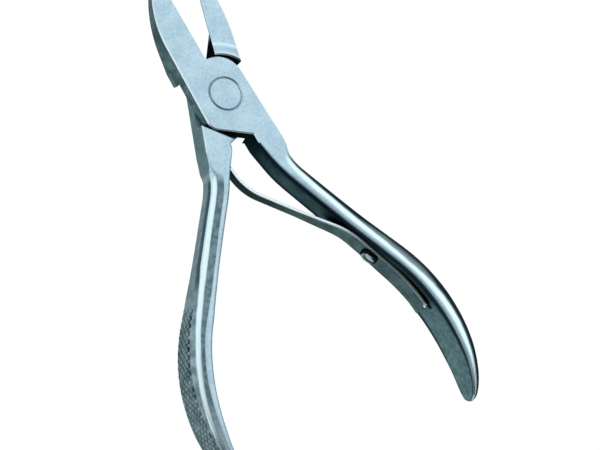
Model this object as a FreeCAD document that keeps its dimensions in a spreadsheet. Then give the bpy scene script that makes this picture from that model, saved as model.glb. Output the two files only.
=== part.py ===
import FreeCAD, Part
import math
import os
import Sketcher
from FreeCAD import Vector

# Flush-cutting nippers made of two forged steel levers, half-lapped and riveted, with one
# leaf spring screwed to the front lever.  Frame: millimetres, origin where the pivot axis
# meets the flat back of the joint, +Z out of the front face, +Y to the jaws along the line
# that halves the open tool.  Each lever is drawn closed, its cutting edge on X = 0, and its
# body is then turned about the pivot by half the opening.

SIZES = [
    ("joint_thickness", 6.8, "full thickness of the joint, back face to front face"),
    ("lap_clearance", 0.06, "gap between the two half-lap faces"),
    ("jaw_opening", 16.5, "degrees that the levers stand open at rest"),
    ("edge_gap", 0.06, "gap left between the closed cutting edges"),
    ("jaw_length", 33.7, "pivot to jaw tip"),
    ("jaw_tip_width", 0.9, "width of each blunt jaw tip"),
    ("jaw_tip_thickness", 2.2, "depth of the jaws at the tip"),
    ("jaw_back_start", 10.4, "pivot to where the back of the jaw leaves the flat"),
    ("jaw_back_radius", 110.0, "hollow of the back of the jaws"),
    ("throat_depth", 0.1, "how far inside the round shoulder the cutting edge has its root"),
    ("throat_step", 0.3, "step from there across to the top of the lap plate"),
    ("throat_drop", 0.6, "step from there down to the top of the lap plate"),
    ("edge_land", 0.3, "square land behind the cutting edge"),
    ("bevel_angle", 40.0, "degrees of the bevel behind the cutting edge"),
    ("bevel_start", 0.1, "depth of the bevel at the throat"),
    ("bevel_full", 15.7, "pivot to where the bevel has its full depth"),
    ("front_jaw_width", 7.7, "front lever, centre to outer side where the jaw starts to curve"),
    ("front_jaw_straight", 16.0, "front lever, pivot to where the jaw starts to curve"),
    ("front_root_width", 8.3, "front lever, centre to outer side below the pivot"),
    ("rear_jaw_width", 6.2, "rear lever, centre to outer side where the jaw starts to curve"),
    ("rear_jaw_straight", 14.7, "rear lever, pivot to where the jaw starts to curve"),
    ("rear_root_width", 7.3, "rear lever, centre to outer side below the pivot"),
    ("plate_side", 7.1, "centre to the rounded shoulder of the lap plate"),
    ("plate_side_height", 3.8, "height of that shoulder above the pivot"),
    ("plate_corner_radius", 3.0, "rounding of the lower corner of the lap plate"),
    ("jaw_shoulder_radius", 10.2, "round shoulder that ends the lap below the jaw"),
    ("handle_shoulder", 10.3, "pivot to the straight shoulder that ends the lap at the handle"),
    ("shoulder_angle", 30.5, "degrees of that shoulder from square"),
    ("shoulder_clearance", 0.7, "gap between plate and shoulder when closed"),
    ("edge_break", 0.3, "bevel on the edges of the flat faces"),
    ("neck_height", 14.0, "pivot down to where the handle leaves the joint"),
    ("front_neck_centre", 4.15, "front lever, centre line of the handle there, from the closed centre"),
    ("front_neck_width", 6.1, "front lever, width of the handle where it leaves the joint"),
    ("front_neck_flare", 0.5, "front lever, how much further in the inner side stands there"),
    ("rear_neck_centre", 6.3, "rear lever, centre line of the handle there, from the closed centre"),
    ("rear_neck_width", 5.1, "rear lever, width of the handle where it leaves the joint"),
    ("rear_neck_flare", 1.85, "rear lever, how much further in the inner side stands there"),
    ("neck_corner", 0.4, "corner rounding there"),
    ("knee_radius", 27.5, "bend that splays the handle outwards"),
    ("splay", 24.0, "degrees that the straight part of the handle splays"),
    ("shank_length", 32.1, "straight part of the handle"),
    ("waist_width", 4.85, "narrowest width of the handle"),
    ("waist_depth", 7.5, "front-to-back depth at the waist"),
    ("palm_radius", 44.0, "bend of the palm part"),
    ("palm_turn", 34.0, "degrees that the palm part turns inwards"),
    ("palm_width", 5.6, "widest part of the handle"),
    ("palm_depth", 11.0, "front-to-back depth of the palm part"),
    ("tip_radius", 39.0, "bend of the handle end"),
    ("tip_turn", 20.0, "degrees that the handle end turns inwards"),
    ("grip_corner", 0.7, "rounding along the inner edges of the handle"),
    ("rivet_head_diameter", 8.4, "head of the rivet, flush with the joint faces"),
    ("rivet_shank_diameter", 5.0, "shank of the rivet"),
    ("rivet_head_depth", 1.8, "depth of each rivet head with its cone"),
    ("rivet_rim", 0.6, "straight rim of each rivet head"),
    ("rivet_ring", 0.2, "bevel that shows as a ring round each rivet head"),
    ("running_clearance", 0.04, "gap all round the rivet in the rear lever"),
    ("spring_thickness", 0.8, "thickness of the spring strip"),
    ("spring_heel_width", 5.4, "width of the strip where it is screwed down"),
    ("spring_tip_width", 3.0, "width of the strip at its free end"),
    ("spring_taper", 13.0, "how far up the strip narrows, from where it leaves the handle"),
    ("spring_seat_gap", 0.08, "gap between strip and handle"),
    ("spring_seat_taper", 1.3, "degrees that the handle's inner side leans off its centre line"),
    ("heel_lead", 1.7, "how far above the palm bend the strip starts to bend with it"),
    ("heel_length", 14.0, "bent part of the strip along the palm"),
    ("lift_off", 4.6, "strip above the screw that lies straight"),
    ("lift_radius", 19.0, "bend that carries the strip off the handle"),
    ("lift_turn", 19.7, "degrees of that bend"),
    ("curl_radius", 13.2, "bend back at the free end"),
    ("curl_turn", 37.0, "degrees of that bend"),
    ("curl_end", 1.8, "straight end that rides on the rear lever"),
    ("touch_place", 0.32, "how far down the rear handle's knee bend the free end rides"),
    ("touch_gap", 0.1, "gap between the free end and the rear handle"),
    ("screw_place", 6.2, "from the start of the palm bend up to the screw"),
    ("screw_diameter", 2.4, "thread of the spring screw"),
    ("screw_depth", 4.2, "length of thread in the handle"),
    ("screw_hole_play", 0.1, "gap round the screw in the strip"),
    ("screw_head_diameter", 4.6, "head of the spring screw"),
    ("screw_head_height", 1.3, "height of that head"),
    ("screw_head_rim", 0.5, "straight rim of that head"),
    ("screw_seat_gap", 0.02, "gap between screw head and strip"),
    ("slot_width", 0.7, "screwdriver slot"),
    ("slot_depth", 0.6, "depth of that slot"),
]

# Well outside the joint, for the ends of cuts across it, and just outside the metal.
BEYOND = 14.0
PAST = 1.0

# Less than this apart, two places are the same.
SMALL = 0.001

doc = FreeCAD.newDocument("flush_nippers")
sheet = doc.addObject("Spreadsheet::Sheet", "Sizes")
for row, (alias, size, note) in enumerate(SIZES, start=1):
    sheet.set(f"A{row}", alias)
    sheet.set(f"B{row}", str(size))
    sheet.setAlias(f"B{row}", alias)
    sheet.set(f"C{row}", note)
doc.recompute()


# Expressions: every size below is a text that the document works out from the sheet.

def of(name):
    """The sheet's cell, as it is written in an expression."""
    return f"Sizes.{name}"


def degrees(name):
    """A cell in degrees, as an angle for sin, cos and tan."""
    return f"({of(name)} * 1deg)"


def number(expression):
    """What an expression is worth now, for the first position of sketch geometry."""
    worth = sheet.evalExpression(expression)
    return float(getattr(worth, "Value", worth))


def between(first, second, share):
    """Expression at a share of the way from one size to another."""
    return f"({first} + ({second} - {first}) * {share})"


MID_DEPTH = f"{of('joint_thickness')} / 2"
MID_PLANE = f"placement(vector(0; 0; {MID_DEPTH}); rotationy(0deg))"
THROAT = f"({of('jaw_shoulder_radius')} - {of('throat_depth')})"
FRONT_FACE = f"placement(vector(0; 0; {of('joint_thickness')}); rotationy(0deg))"
HALF_OPENING = f"({of('jaw_opening')} / 2 * 1deg)"


# Where the arc of the round shoulder starts, past the side of the plate, and where it runs out
# straight to the outer side of the jaw.
ARC_START, ARC_END = "60deg", "131deg"


# Sketch tools.

INTO = "into"
OUT_OF = "out of"


def new_body(label):
    body = doc.addObject("PartDesign::Body", label)
    body.Label = label
    return body


def new_sketch(body, name, role, offset=None):
    """Sketch on one of the body's origin planes, moved by a placement expression."""
    sketch = body.newObject("Sketcher::SketchObject", name)
    plane = next(part for part in body.Origin.OriginFeatures if part.Role == role)
    sketch.AttachmentSupport = [(plane, "")]
    sketch.MapMode = "FlatFace"
    if offset:
        sketch.setExpression("AttachmentOffset", offset)
    return sketch


def constrain(sketch, constraint, size):
    """Add a dimension that the sheet drives."""
    place = sketch.addConstraint(constraint)
    sketch.setExpression(f"Constraints[{place}]", size)


def pin(sketch, geometry, point, x_size, y_size):
    """Hold one point of a sketch at a place that comes from the sheet."""
    for kind, size in (("DistanceX", x_size), ("DistanceY", y_size)):
        constrain(sketch, Sketcher.Constraint(kind, -1, 1, geometry, point, number(size)), size)


def tangent_centre(touching, other, along_line):
    """Centre of the arc between two points that touches a line at the first of them."""
    across = Vector(-along_line.y, along_line.x, 0).normalize()
    chord = other - touching
    return touching + across * (chord.dot(chord) / (2 * chord.dot(across)))


def outline(sketch, corners, arcs=None, clockwise=(), side=1, closed=True):
    """Outline through named corners; arcs gives the centre of the arc that leaves a corner.

    A centre is a pair of expressions, or says that the arc touches the line INTO which it
    runs or the line OUT_OF which it comes.  Arcs turn counter-clockwise but for those named
    as clockwise.  Side -1 draws the outline with its X reversed.
    """
    arcs = arcs or {}
    names = list(corners)
    sizes = {name: (f"{side} * ({x})", y) for name, (x, y) in corners.items()}
    places = {name: Vector(number(x), number(y), 0) for name, (x, y) in sizes.items()}
    steps = names if closed else names[:-1]
    ends = []
    for count, name in enumerate(steps):
        start, end = places[name], places[names[(count + 1) % len(names)]]
        if name not in arcs:
            ends.append((sketch.addGeometry(Part.LineSegment(start, end)), 1, 2))
            continue
        if arcs[name] == INTO:
            middle = tangent_centre(end, start, places[names[(count + 2) % len(names)]] - end)
        elif arcs[name] == OUT_OF:
            middle = tangent_centre(start, end, start - places[names[count - 1]])
        else:
            middle = Vector(side * number(arcs[name][0]), number(arcs[name][1]), 0)
        reverse = (name in clockwise) != (side < 0)
        first, last = (end, start) if reverse else (start, end)
        circle = Part.Circle(middle, Vector(0, 0, 1), (end - middle).Length)
        arc = Part.ArcOfCircle(circle, circle.parameter(first), circle.parameter(last))
        index = sketch.addGeometry(arc)
        ends.append((index, 2, 1) if reverse else (index, 1, 2))
    for count, name in enumerate(steps if closed else steps[:-1]):
        index, start, end = ends[count]
        after, after_start, after_end = ends[(count + 1) % len(ends)]
        touching = arcs.get(name) == INTO or arcs.get(names[(count + 1) % len(names)]) == OUT_OF
        kind = "Tangent" if touching else "Coincident"
        sketch.addConstraint(Sketcher.Constraint(kind, index, end, after, after_start))
    for (index, start, end), name in zip(ends, steps):
        pin(sketch, index, start, *sizes[name])
        if name in arcs and arcs[name] not in (INTO, OUT_OF):
            centre_x = f"{side} * ({arcs[name][0]})"
            constraint = Sketcher.Constraint("DistanceX", -1, 1, index, 3, number(centre_x))
            constrain(sketch, constraint, centre_x)
    if not closed:
        pin(sketch, ends[-1][0], ends[-1][2], *sizes[names[-1]])


def rounded_section(sketch, width, depth, left_corner, right_corner):
    """Rectangle about the sketch's origin with its left and right corners rounded."""
    half_width, half_depth = number(width) / 2, number(depth) / 2
    left, right = number(left_corner), number(right_corner)
    middles = [
        (half_width - right, -half_depth + right, right),
        (half_width - right, half_depth - right, right),
        (-half_width + left, half_depth - left, left),
        (-half_width + left, -half_depth + left, left),
    ]
    corners = []
    for turn, (x, y, radius) in enumerate(middles):
        circle = Part.Circle(Vector(x, y, 0), Vector(0, 0, 1), radius)
        start = (turn - 1) * math.pi / 2
        corners.append(Part.ArcOfCircle(circle, start, start + math.pi / 2))
    for turn, corner in enumerate(corners):
        sketch.addGeometry(corner)
        sketch.addGeometry(Part.LineSegment(corner.EndPoint, corners[(turn + 1) % 4].StartPoint))
    for index in range(8):
        sketch.addConstraint(Sketcher.Constraint("Tangent", index, 2, (index + 1) % 8, 1))
    for upright, flat in ((1, 3), (5, 7)):
        sketch.addConstraint(Sketcher.Constraint("Vertical", upright))
        sketch.addConstraint(Sketcher.Constraint("Horizontal", flat))
    for lower, upper in ((0, 2), (6, 4)):
        sketch.addConstraint(Sketcher.Constraint("Equal", lower, upper))
    constrain(sketch, Sketcher.Constraint("Radius", 0, right), right_corner)
    constrain(sketch, Sketcher.Constraint("Radius", 4, left), left_corner)
    half_sizes = (
        ("DistanceX", 1, half_width, f"({width}) / 2"),
        ("DistanceX", 5, -half_width, f"-({width}) / 2"),
        ("DistanceY", 3, half_depth, f"({depth}) / 2"),
        ("DistanceY", 7, -half_depth, f"-({depth}) / 2"),
    )
    for kind, index, now, size in half_sizes:
        constrain(sketch, Sketcher.Constraint(kind, -1, 1, index, 1, now), size)


# Features.

def add_feature(body, kind, name, profile, **settings):
    """Add a PartDesign feature; a cut must take something away."""
    before = body.Shape.Volume if body.Tip else 0.0
    feature = body.newObject(f"PartDesign::{kind}", name)
    feature.Profile = profile
    for setting, worth in settings.items():
        if isinstance(worth, str) and worth.startswith("="):
            feature.setExpression(setting, worth[1:])
        else:
            setattr(feature, setting, worth)
    doc.recompute()
    cuts = kind in ("Pocket", "Groove", "SubtractiveLoft")
    if cuts and body.Shape.Volume > before - SMALL:
        raise RuntimeError(f"{name} cuts nothing")
    return feature


def dress_edges(body, kind, name, size_name, size, chosen):
    """Fillet or chamfer the edges of the body's last feature that are chosen by a test."""
    base = body.Tip
    edges = [f"Edge{count}" for count, edge in enumerate(base.Shape.Edges, start=1) if chosen(edge)]
    feature = body.newObject(f"PartDesign::{kind}", name)
    feature.Base = (base, edges)
    feature.setExpression(size_name, size)
    doc.recompute()
    return feature


# The centre line of a handle, drawn closed: a knee bend, a straight shank, a palm bend and a
# tip bend.  A place on it is a pair of expressions and the angle that the line splays by.

def knee(lever, share):
    splay = f"({degrees('splay')} * {share})"
    x = f"({of(f'{lever}_neck_centre')} + {of('knee_radius')} * (1 - cos({splay})))"
    y = f"(-{of('neck_height')} - {of('knee_radius')} * sin({splay}))"
    return x, y, splay


def shank(lever, along):
    """Place on the straight shank, at a length past the knee."""
    x, y, splay = knee(lever, 1)
    return f"({x} + ({along}) * sin({splay}))", f"({y} - ({along}) * cos({splay}))", splay


def inward_bend(start, radius, turn):
    x, y, splay = start
    left = f"({splay} - {turn})"
    bent_x = f"({x} + {radius} * (cos({left}) - cos({splay})))"
    bent_y = f"({y} - {radius} * (sin({splay}) - sin({left})))"
    return bent_x, bent_y, left


def palm(lever, share):
    start = shank(lever, of("shank_length"))
    return inward_bend(start, of("palm_radius"), f"{degrees('palm_turn')} * {share}")


def tip(lever, share):
    return inward_bend(palm(lever, 1), of("tip_radius"), f"{degrees('tip_turn')} * {share}")


def inner_side(place, distance):
    """Place at a distance across from the centre line, towards the other handle."""
    x, y, splay = place
    return f"({x} - {distance} * cos({splay}))", f"({y} - {distance} * sin({splay}))", splay


SCREW_ALONG = f"({of('shank_length')} - {of('screw_place')})"

# Largest rounding of the outer side, as shares of the width and of the depth.
ROUND_OF_WIDTH, ROUND_OF_DEPTH = 0.54, 0.32

# Shares of the swelling from waist to palm that the handle has reached at the screw.
WIDTH_AT_SCREW, DEPTH_AT_SCREW = 0.45, 0.63

# Knee sections: share of the bend, how far the width has gone from neck to waist, how far the
# depth has gone from joint to waist, and how far the outer rounding has grown.
KNEE_SECTIONS = (
    (0, 0, 0, 0),
    (0.15, 0.07, 0.0, 0.0),
    (0.3, 0.22, 0.0, 0.02),
    (0.44, 0.45, 0.15, 0.5),
    (0.58, 0.67, 0.35, 0.98),
    (0.75, 0.88, 0.6, 1.0),
    (1, 1, 0.9, 1.0),
)

# Shank sections: share of the shank, and how far width and depth have swollen.
SHANK_SECTIONS = ((0.25, 0.02, 0.04), (0.55, 0.14, 0.24))

# Palm and tip sections: the bend, the share of it, and the shares of the palm's width and depth.
TAPER_SECTIONS = (
    (palm, 0.4, 1.0, 1.0),
    (palm, 0.7, 0.93, 0.99),
    (palm, 1, 0.77, 0.945),
    (tip, 0.4, 0.56, 0.85),
    (tip, 0.7, 0.4, 0.7),
    (tip, 0.9, 0.26, 0.48),
    (tip, 1, 0.14, 0.24),
)


# The inner side's flare towards the joint: share of the bend where it has run out, and how
# fast it falls away.
FLARE_END, FLARE_FALL = 0.75, 2


def outer_round(width, depth):
    return f"min(({width}) * {ROUND_OF_WIDTH}; ({depth}) * {ROUND_OF_DEPTH})"


def neck_flare(lever, share):
    """How much further in the inner side stands at a share of the knee bend."""
    return f"({of(f'{lever}_neck_flare')} * max(1 - {share} / {FLARE_END}; 0) ^ {FLARE_FALL})"


def handle_stations(lever):
    """Place, width, depth and outer rounding of each cross-section, from joint to tip."""
    neck, waist, widest = of(f"{lever}_neck_width"), of("waist_width"), of("palm_width")
    joint, slim, deep = of("joint_thickness"), of("waist_depth"), of("palm_depth")
    stations = []
    for share, narrowed, deepened, growth in KNEE_SECTIONS:
        width = f"({between(neck, waist, narrowed)} + {neck_flare(lever, share)})"
        depth = between(joint, slim, deepened)
        rounding = between(of("neck_corner"), outer_round(width, depth), growth)
        stations.append((neck_place(lever, share, width), width, depth, rounding))
    swelling = [(shank(lever, f"{of('shank_length')} * {share}"), *grown) for share, *grown in SHANK_SECTIONS]
    swelling.append((shank(lever, SCREW_ALONG), WIDTH_AT_SCREW, DEPTH_AT_SCREW))
    swelling.append((shank(lever, of("shank_length")), 0.88, 0.88))
    for place, wider, deeper in swelling:
        width, depth = between(waist, widest, wider), between(slim, deep, deeper)
        stations.append((place, width, depth, outer_round(width, depth)))
    for bend, share, wide, high in TAPER_SECTIONS:
        width, depth = f"{widest} * {wide}", f"{deep} * {high}"
        stations.append((bend(lever, share), width, depth, outer_round(width, depth)))
    return stations


def neck_place(lever, share, width):
    """Middle of a knee section, whose inner side stands at the waist's distance and the flare."""
    inner = f"({of('waist_width')} / 2 + {neck_flare(lever, share)})"
    return inner_side(knee(lever, share), f"({inner} - {width} / 2)")


def add_handle(body, lever, side):
    """Loft the handle through its cross-sections, on the +X side or on the -X side."""
    sections = []
    for count, (place, width, depth, rounding) in enumerate(handle_stations(lever), start=1):
        x, y, splay = place
        offset = f"placement(vector({side} * {x}; {MID_DEPTH}; -{y}); rotationy({side} * {splay}))"
        sketch = new_sketch(body, f"{body.Label}_section_{count}", "XZ_Plane", offset)
        inner = f"min({of('grip_corner')}; ({width}) * 0.2)"
        corners = (inner, rounding) if side > 0 else (rounding, inner)
        rounded_section(sketch, width, depth, *corners)
        sections.append(sketch)
    doc.recompute()
    add_feature(body, "AdditiveLoft", f"{body.Label}_handle", sections[0], Sections=sections[1:])


# Levers.  The front lever has its jaw at -X and its handle at +X, and the rear lever is drawn
# with X reversed.

def lever_blank(body, lever, side):
    """Flat blank of jaw, lap plate and neck."""
    root = of(f"{lever}_root_width")
    plate_bottom = f"({of('handle_shoulder')} - {of('shoulder_clearance')})"
    lean = degrees("shoulder_angle")
    straight_side = f"({of(f'{lever}_neck_centre')} - {of('waist_width')} / 2)"
    inner = f"({straight_side} - {of(f'{lever}_neck_flare')})"
    outer = f"({straight_side} + {of(f'{lever}_neck_width')})"
    edge = f"-{of('edge_gap')} / 2"
    corners = {
        "edge_tip": (edge, of("jaw_length")),
        "outer_tip": (f"-{of('jaw_tip_width')}", of("jaw_length")),
        "jaw_bend": (f"-{of(f'{lever}_jaw_width')}", of(f"{lever}_jaw_straight")),
        "plate_corner": (f"-{root}", f"-({plate_bottom} - {root} * sin({lean})) / cos({lean})"),
        "crotch": (inner, f"-({plate_bottom} + {inner} * sin({lean})) / cos({lean})"),
        "neck_inner": (inner, f"-{of('neck_height')}"),
        "neck_outer": (outer, f"-{of('neck_height')}"),
        "plate_side": (of("plate_side"), of("plate_side_height")),
        "plate_top": (of("throat_step"), f"({THROAT} - {of('throat_drop')})"),
        "throat": (edge, THROAT),
    }
    sketch = new_sketch(body, f"{lever}_blank_outline", "XY_Plane")
    outline(sketch, corners, {"outer_tip": INTO, "plate_side": OUT_OF}, side=side)
    add_feature(body, "Pad", f"{lever}_blank", sketch, Length="=" + of("joint_thickness"))
    corner_x = side * number(corners["plate_corner"][0])
    dress_edges(
        body, "Fillet", f"{lever}_plate_corner", "Radius", of("plate_corner_radius"),
        lambda edge: all(abs(vertex.X - corner_x) < SMALL and vertex.Y < 0 for vertex in edge.Vertexes),
    )


def hollow_jaw_back(body, lever):
    """Thin the jaw towards its tip from behind, along a shallow hollow."""
    rise = f"({of('joint_thickness')} - {of('jaw_tip_thickness')})"
    run = f"({of('jaw_length')} - {of('jaw_back_start')})"
    chord = f"sqrt({rise} * {rise} + {run} * {run})"
    drop = f"sqrt({of('jaw_back_radius')} * {of('jaw_back_radius')} - {chord} * {chord} / 4)"
    corners = {
        "start": (of("jaw_back_start"), "0"),
        "below": (of("jaw_back_start"), f"-{PAST}"),
        "below_tip": (of("jaw_length"), f"-{PAST}"),
        "tip": (of("jaw_length"), rise),
    }
    centre = (
        f"({of('jaw_back_start')} + {run} / 2 + {drop} * {rise} / {chord})",
        f"({rise} / 2 - {drop} * {run} / {chord})",
    )
    sketch = new_sketch(body, f"{lever}_jaw_back", "YZ_Plane")
    outline(sketch, corners, {"tip": centre})
    add_feature(body, "Pocket", f"{lever}_jaw_hollow", sketch, Type="ThroughAll", Midplane=True)


def bevel_cutting_edge(body, lever, side):
    """Bevel the inner side of the jaw from behind, running out at the throat."""
    full = f"({of('joint_thickness')} - {of('edge_land')})"
    slope = f"tan({degrees('bevel_angle')})"
    edge = f"(-{of('edge_gap')} / 2)"
    past_tip = f"({of('jaw_length')} + {PAST})"
    levels = ((THROAT, of("bevel_start")), (of("bevel_full"), full), (past_tip, full))
    sections = []
    for place, top in levels:
        offset = f"placement(vector(0; 0; -{place}); rotationy(0deg))"
        sketch = new_sketch(body, f"{lever}_bevel_section", "XZ_Plane", offset)
        corners = {
            "outside_top": (f"{edge} + {PAST}", f"{top} + {PAST} / {slope}"),
            "inside": (f"{edge} - ({top} + {PAST}) * {slope}", f"-{PAST}"),
            "outside": (f"{edge} + {PAST}", f"-{PAST}"),
        }
        outline(sketch, corners, side=side)
        sections.append(sketch)
    doc.recompute()
    add_feature(
        body, "SubtractiveLoft", f"{lever}_bevel", sections[0], Sections=sections[1:], Ruled=True
    )


def cut_half_lap(body, lever, side, from_back):
    """Take half the thickness away between the jaw shoulder and the handle shoulder."""
    radius, distance = of("jaw_shoulder_radius"), of("handle_shoulder")
    lean = degrees("shoulder_angle")
    corners = {
        "arc_start": (f"{radius} * cos({ARC_START})", f"{radius} * sin({ARC_START})"),
        "arc_end": (f"{radius} * cos({ARC_END})", f"{radius} * sin({ARC_END})"),
        "outside": (f"-{BEYOND}", f"{radius} * sin({ARC_END})"),
        "shoulder_inner": (f"-{BEYOND}", f"-({distance} + {BEYOND} * sin({lean})) / cos({lean})"),
        "shoulder_outer": (f"{BEYOND}", f"-({distance} - {BEYOND} * sin({lean})) / cos({lean})"),
        "top": (f"{BEYOND}", f"{radius} * sin({ARC_START})"),
    }
    sketch = new_sketch(body, f"{lever}_lap_outline", "XY_Plane", None if from_back else FRONT_FACE)
    outline(sketch, corners, {"arc_start": ("0", "0")}, side=side)
    depth = f"=({of('joint_thickness')} + {of('lap_clearance')}) / 2"
    add_feature(body, "Pocket", f"{lever}_lap", sketch, Length=depth, Reversed=from_back)


def break_edges(body, lever):
    """Bevel the outline of the flat faces, but not at the cutting edge, throat, tip or neck end."""
    front, throat = number(of("joint_thickness")), number(THROAT) - SMALL
    inner_x = number(of("throat_step")) + SMALL
    levels = (of("jaw_length"), f"-{of('neck_height')}", of("jaw_back_start"))
    open_ends = [number(level) for level in levels]

    def in_throat(point):
        return abs(point.x) < inner_x and point.y > 0

    def on_outline(edge):
        ends = [vertex.Point for vertex in edge.Vertexes]
        on_back = all(abs(point.z) < SMALL for point in ends)
        on_front = all(abs(point.z - front) < SMALL for point in ends)
        at_end = any(all(abs(point.y - level) < SMALL for point in ends) for level in open_ends)
        at_root = on_back and any(in_throat(point) and point.y > throat for point in ends)
        return (on_back or on_front) and not (at_end or at_root or all(map(in_throat, ends)))

    dress_edges(body, "Chamfer", f"{lever}_edge_break", "Size", of("edge_break"), on_outline)


def rivet_profile(sketch, play, flare):
    """Half profile of the rivet or of its hole: wider by the play, its ring bevel by the flare."""
    head = f"({of('rivet_head_diameter')} / 2 + {play})"
    shank_radius = f"({of('rivet_shank_diameter')} / 2 + {play})"
    thick, ring = of("joint_thickness"), of("rivet_ring")
    cone, rim = of("rivet_head_depth"), of("rivet_rim")
    corners = {
        "axis_back": ("0", "0"),
        "back_face": (f"{head} + {flare} * {ring}", "0"),
        "back_ring": (head, ring),
        "back_rim": (head, rim),
        "back_cone": (shank_radius, cone),
        "front_cone": (shank_radius, f"{thick} - {cone}"),
        "front_rim": (head, f"{thick} - {rim}"),
        "front_ring": (head, f"{thick} - {ring}"),
        "front_face": (f"{head} + {flare} * {ring}", thick),
        "axis_front": ("0", thick),
    }
    outline(sketch, corners)


def add_lever(lever, side, from_back, rivet_play):
    body = new_body(f"{lever}_lever")
    lever_blank(body, lever, side)
    hollow_jaw_back(body, lever)
    bevel_cutting_edge(body, lever, side)
    cut_half_lap(body, lever, side, from_back)
    break_edges(body, lever)
    add_handle(body, lever, side)
    hole = new_sketch(body, f"{lever}_rivet_hole_profile", "XZ_Plane")
    rivet_profile(hole, rivet_play, flare=1)
    add_feature(body, "Groove", f"{lever}_rivet_hole", hole, ReferenceAxis=(hole, ["V_Axis"]), Angle=360)
    body.setExpression("Placement", f"placement(vector(0; 0; 0); rotationz({side} * {HALF_OPENING}))")
    doc.recompute()
    return body


def add_rivet():
    body = new_body("pivot_rivet")
    profile = new_sketch(body, "rivet_half_profile", "XZ_Plane")
    rivet_profile(profile, "0", flare=-1)
    add_feature(body, "Revolution", "rivet", profile, ReferenceAxis=(profile, ["V_Axis"]), Angle=360)
    return body


# The spring screw stands square on the inner side of the front handle.  The strip leans from
# upright by an angle that its places carry, as the handle's places carry their splay.

SEAT_LEAN = f"({degrees('splay')} - {degrees('spring_seat_taper')})"
FACE_TO_STRIP = f"({of('spring_seat_gap')} + {of('spring_thickness')} / 2)"


def on_inner_side(distance):
    """Place at a distance in from the handle's inner side, opposite the screw."""
    half_width = f"{between(of('waist_width'), of('palm_width'), WIDTH_AT_SCREW)} / 2"
    x, y, _ = inner_side(shank("front", SCREW_ALONG), half_width)
    return inner_side((x, y, SEAT_LEAN), distance)


def along(start, length):
    x, y, lean = start
    return f"({x} - {length} * sin({lean}))", f"({y} + {length} * cos({lean}))", lean


def bent(start, radius, turn, towards):
    """End of a bend; towards is 1 where the strip leans over more and -1 where less."""
    x, y, lean = start
    after = f"({lean} + {towards} * {turn})"
    end_x = f"({x} + {towards} * {radius} * (cos({after}) - cos({lean})))"
    end_y = f"({y} + {towards} * {radius} * (sin({after}) - sin({lean})))"
    return end_x, end_y, after


def bend_centre(start, radius, towards):
    x, y, lean = start
    return f"({x} - {towards} * {radius} * cos({lean}))", f"({y} - {towards} * {radius} * sin({lean}))"


def touching_length(lift_end):
    """Length of the span that lays the free end against the rear handle's knee bend."""
    place = of("touch_place")
    off_line = f"({of('waist_width')} / 2 + {neck_flare('rear', place)})"
    face_x, face_y, splay = inner_side(knee("rear", place), off_line)
    opening = degrees("jaw_opening")
    facing = f"({splay} + {opening})"
    rear_x = f"({face_y} * sin({opening}) - {face_x} * cos({opening}))"
    rear_y = f"({face_x} * sin({opening}) + {face_y} * cos({opening}))"
    end_x, end_y, end_lean = free_end(lift_end)[-1]
    apart = f"(({end_x} - {rear_x}) * cos({facing}) - ({end_y} - {rear_y}) * sin({facing}))"
    corner = f"{of('spring_thickness')} / 2 * cos({end_lean} + {facing})"
    return f"(({apart} - {of('touch_gap')} - {corner}) / sin({lift_end[2]} + {facing}))"


def free_end(start):
    """Places where the bend back at the free end stops and where the strip itself stops."""
    curled = bent(start, of("curl_radius"), degrees("curl_turn"), -1)
    return curled, along(curled, of("curl_end"))


def spring_route():
    """Places along the strip's middle, from its heel to its free end, and its bends."""
    screw = on_inner_side(FACE_TO_STRIP)
    palm_face = f"({of('palm_radius')} - {of('palm_width')} / 2)"
    heel_straight = f"({of('screw_place')} - {of('heel_lead')})"
    heel_turn = f"({of('heel_length')} / {palm_face} * 180deg / pi)"
    heel_bend = along(screw, f"-{heel_straight}")
    heel = bent(heel_bend, palm_face, f"-{heel_turn}", 1)
    lift = along(screw, of("lift_off"))
    span = bent(lift, of("lift_radius"), degrees("lift_turn"), 1)
    curl = along(span, touching_length(span))
    curled, end = free_end(curl)
    places = {"heel": heel, "heel_bend": heel_bend, "lift": lift, "span": span, "curl": curl}
    bends = {
        "heel": bend_centre(heel, palm_face, 1),
        "lift": bend_centre(lift, of("lift_radius"), 1),
        "curl": bend_centre(curl, of("curl_radius"), -1),
    }
    return places | {"curled": curled, "end": end}, bends


def add_spring():
    body = new_body("leaf_spring")
    places, bends = spring_route()
    spine = new_sketch(body, "strip_route", "XY_Plane", MID_PLANE)
    outline(spine, {name: place[:2] for name, place in places.items()}, bends, {"curl"}, closed=False)
    x, y, lean = places["heel"]
    offset = f"placement(vector({x}; {MID_DEPTH}; -{y}); rotationy({lean}))"
    section = new_sketch(body, "strip_section", "XZ_Plane", offset)
    half_thickness, half_width = f"{of('spring_thickness')} / 2", f"{of('spring_heel_width')} / 2"
    rectangle = {
        "inner_back": (f"-{half_thickness}", f"-{half_width}"),
        "outer_back": (half_thickness, f"-{half_width}"),
        "outer_front": (half_thickness, half_width),
        "inner_front": (f"-{half_thickness}", half_width),
    }
    outline(section, rectangle)
    doc.recompute()
    add_feature(body, "AdditivePipe", "strip", section, Spine=spine)
    for front in (1, -1):
        narrow_strip(body, places, front)
    drill_strip(body)
    body.setExpression("Placement", f"placement(vector(0; 0; 0); rotationz({HALF_OPENING}))")
    doc.recompute()
    return body


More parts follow.
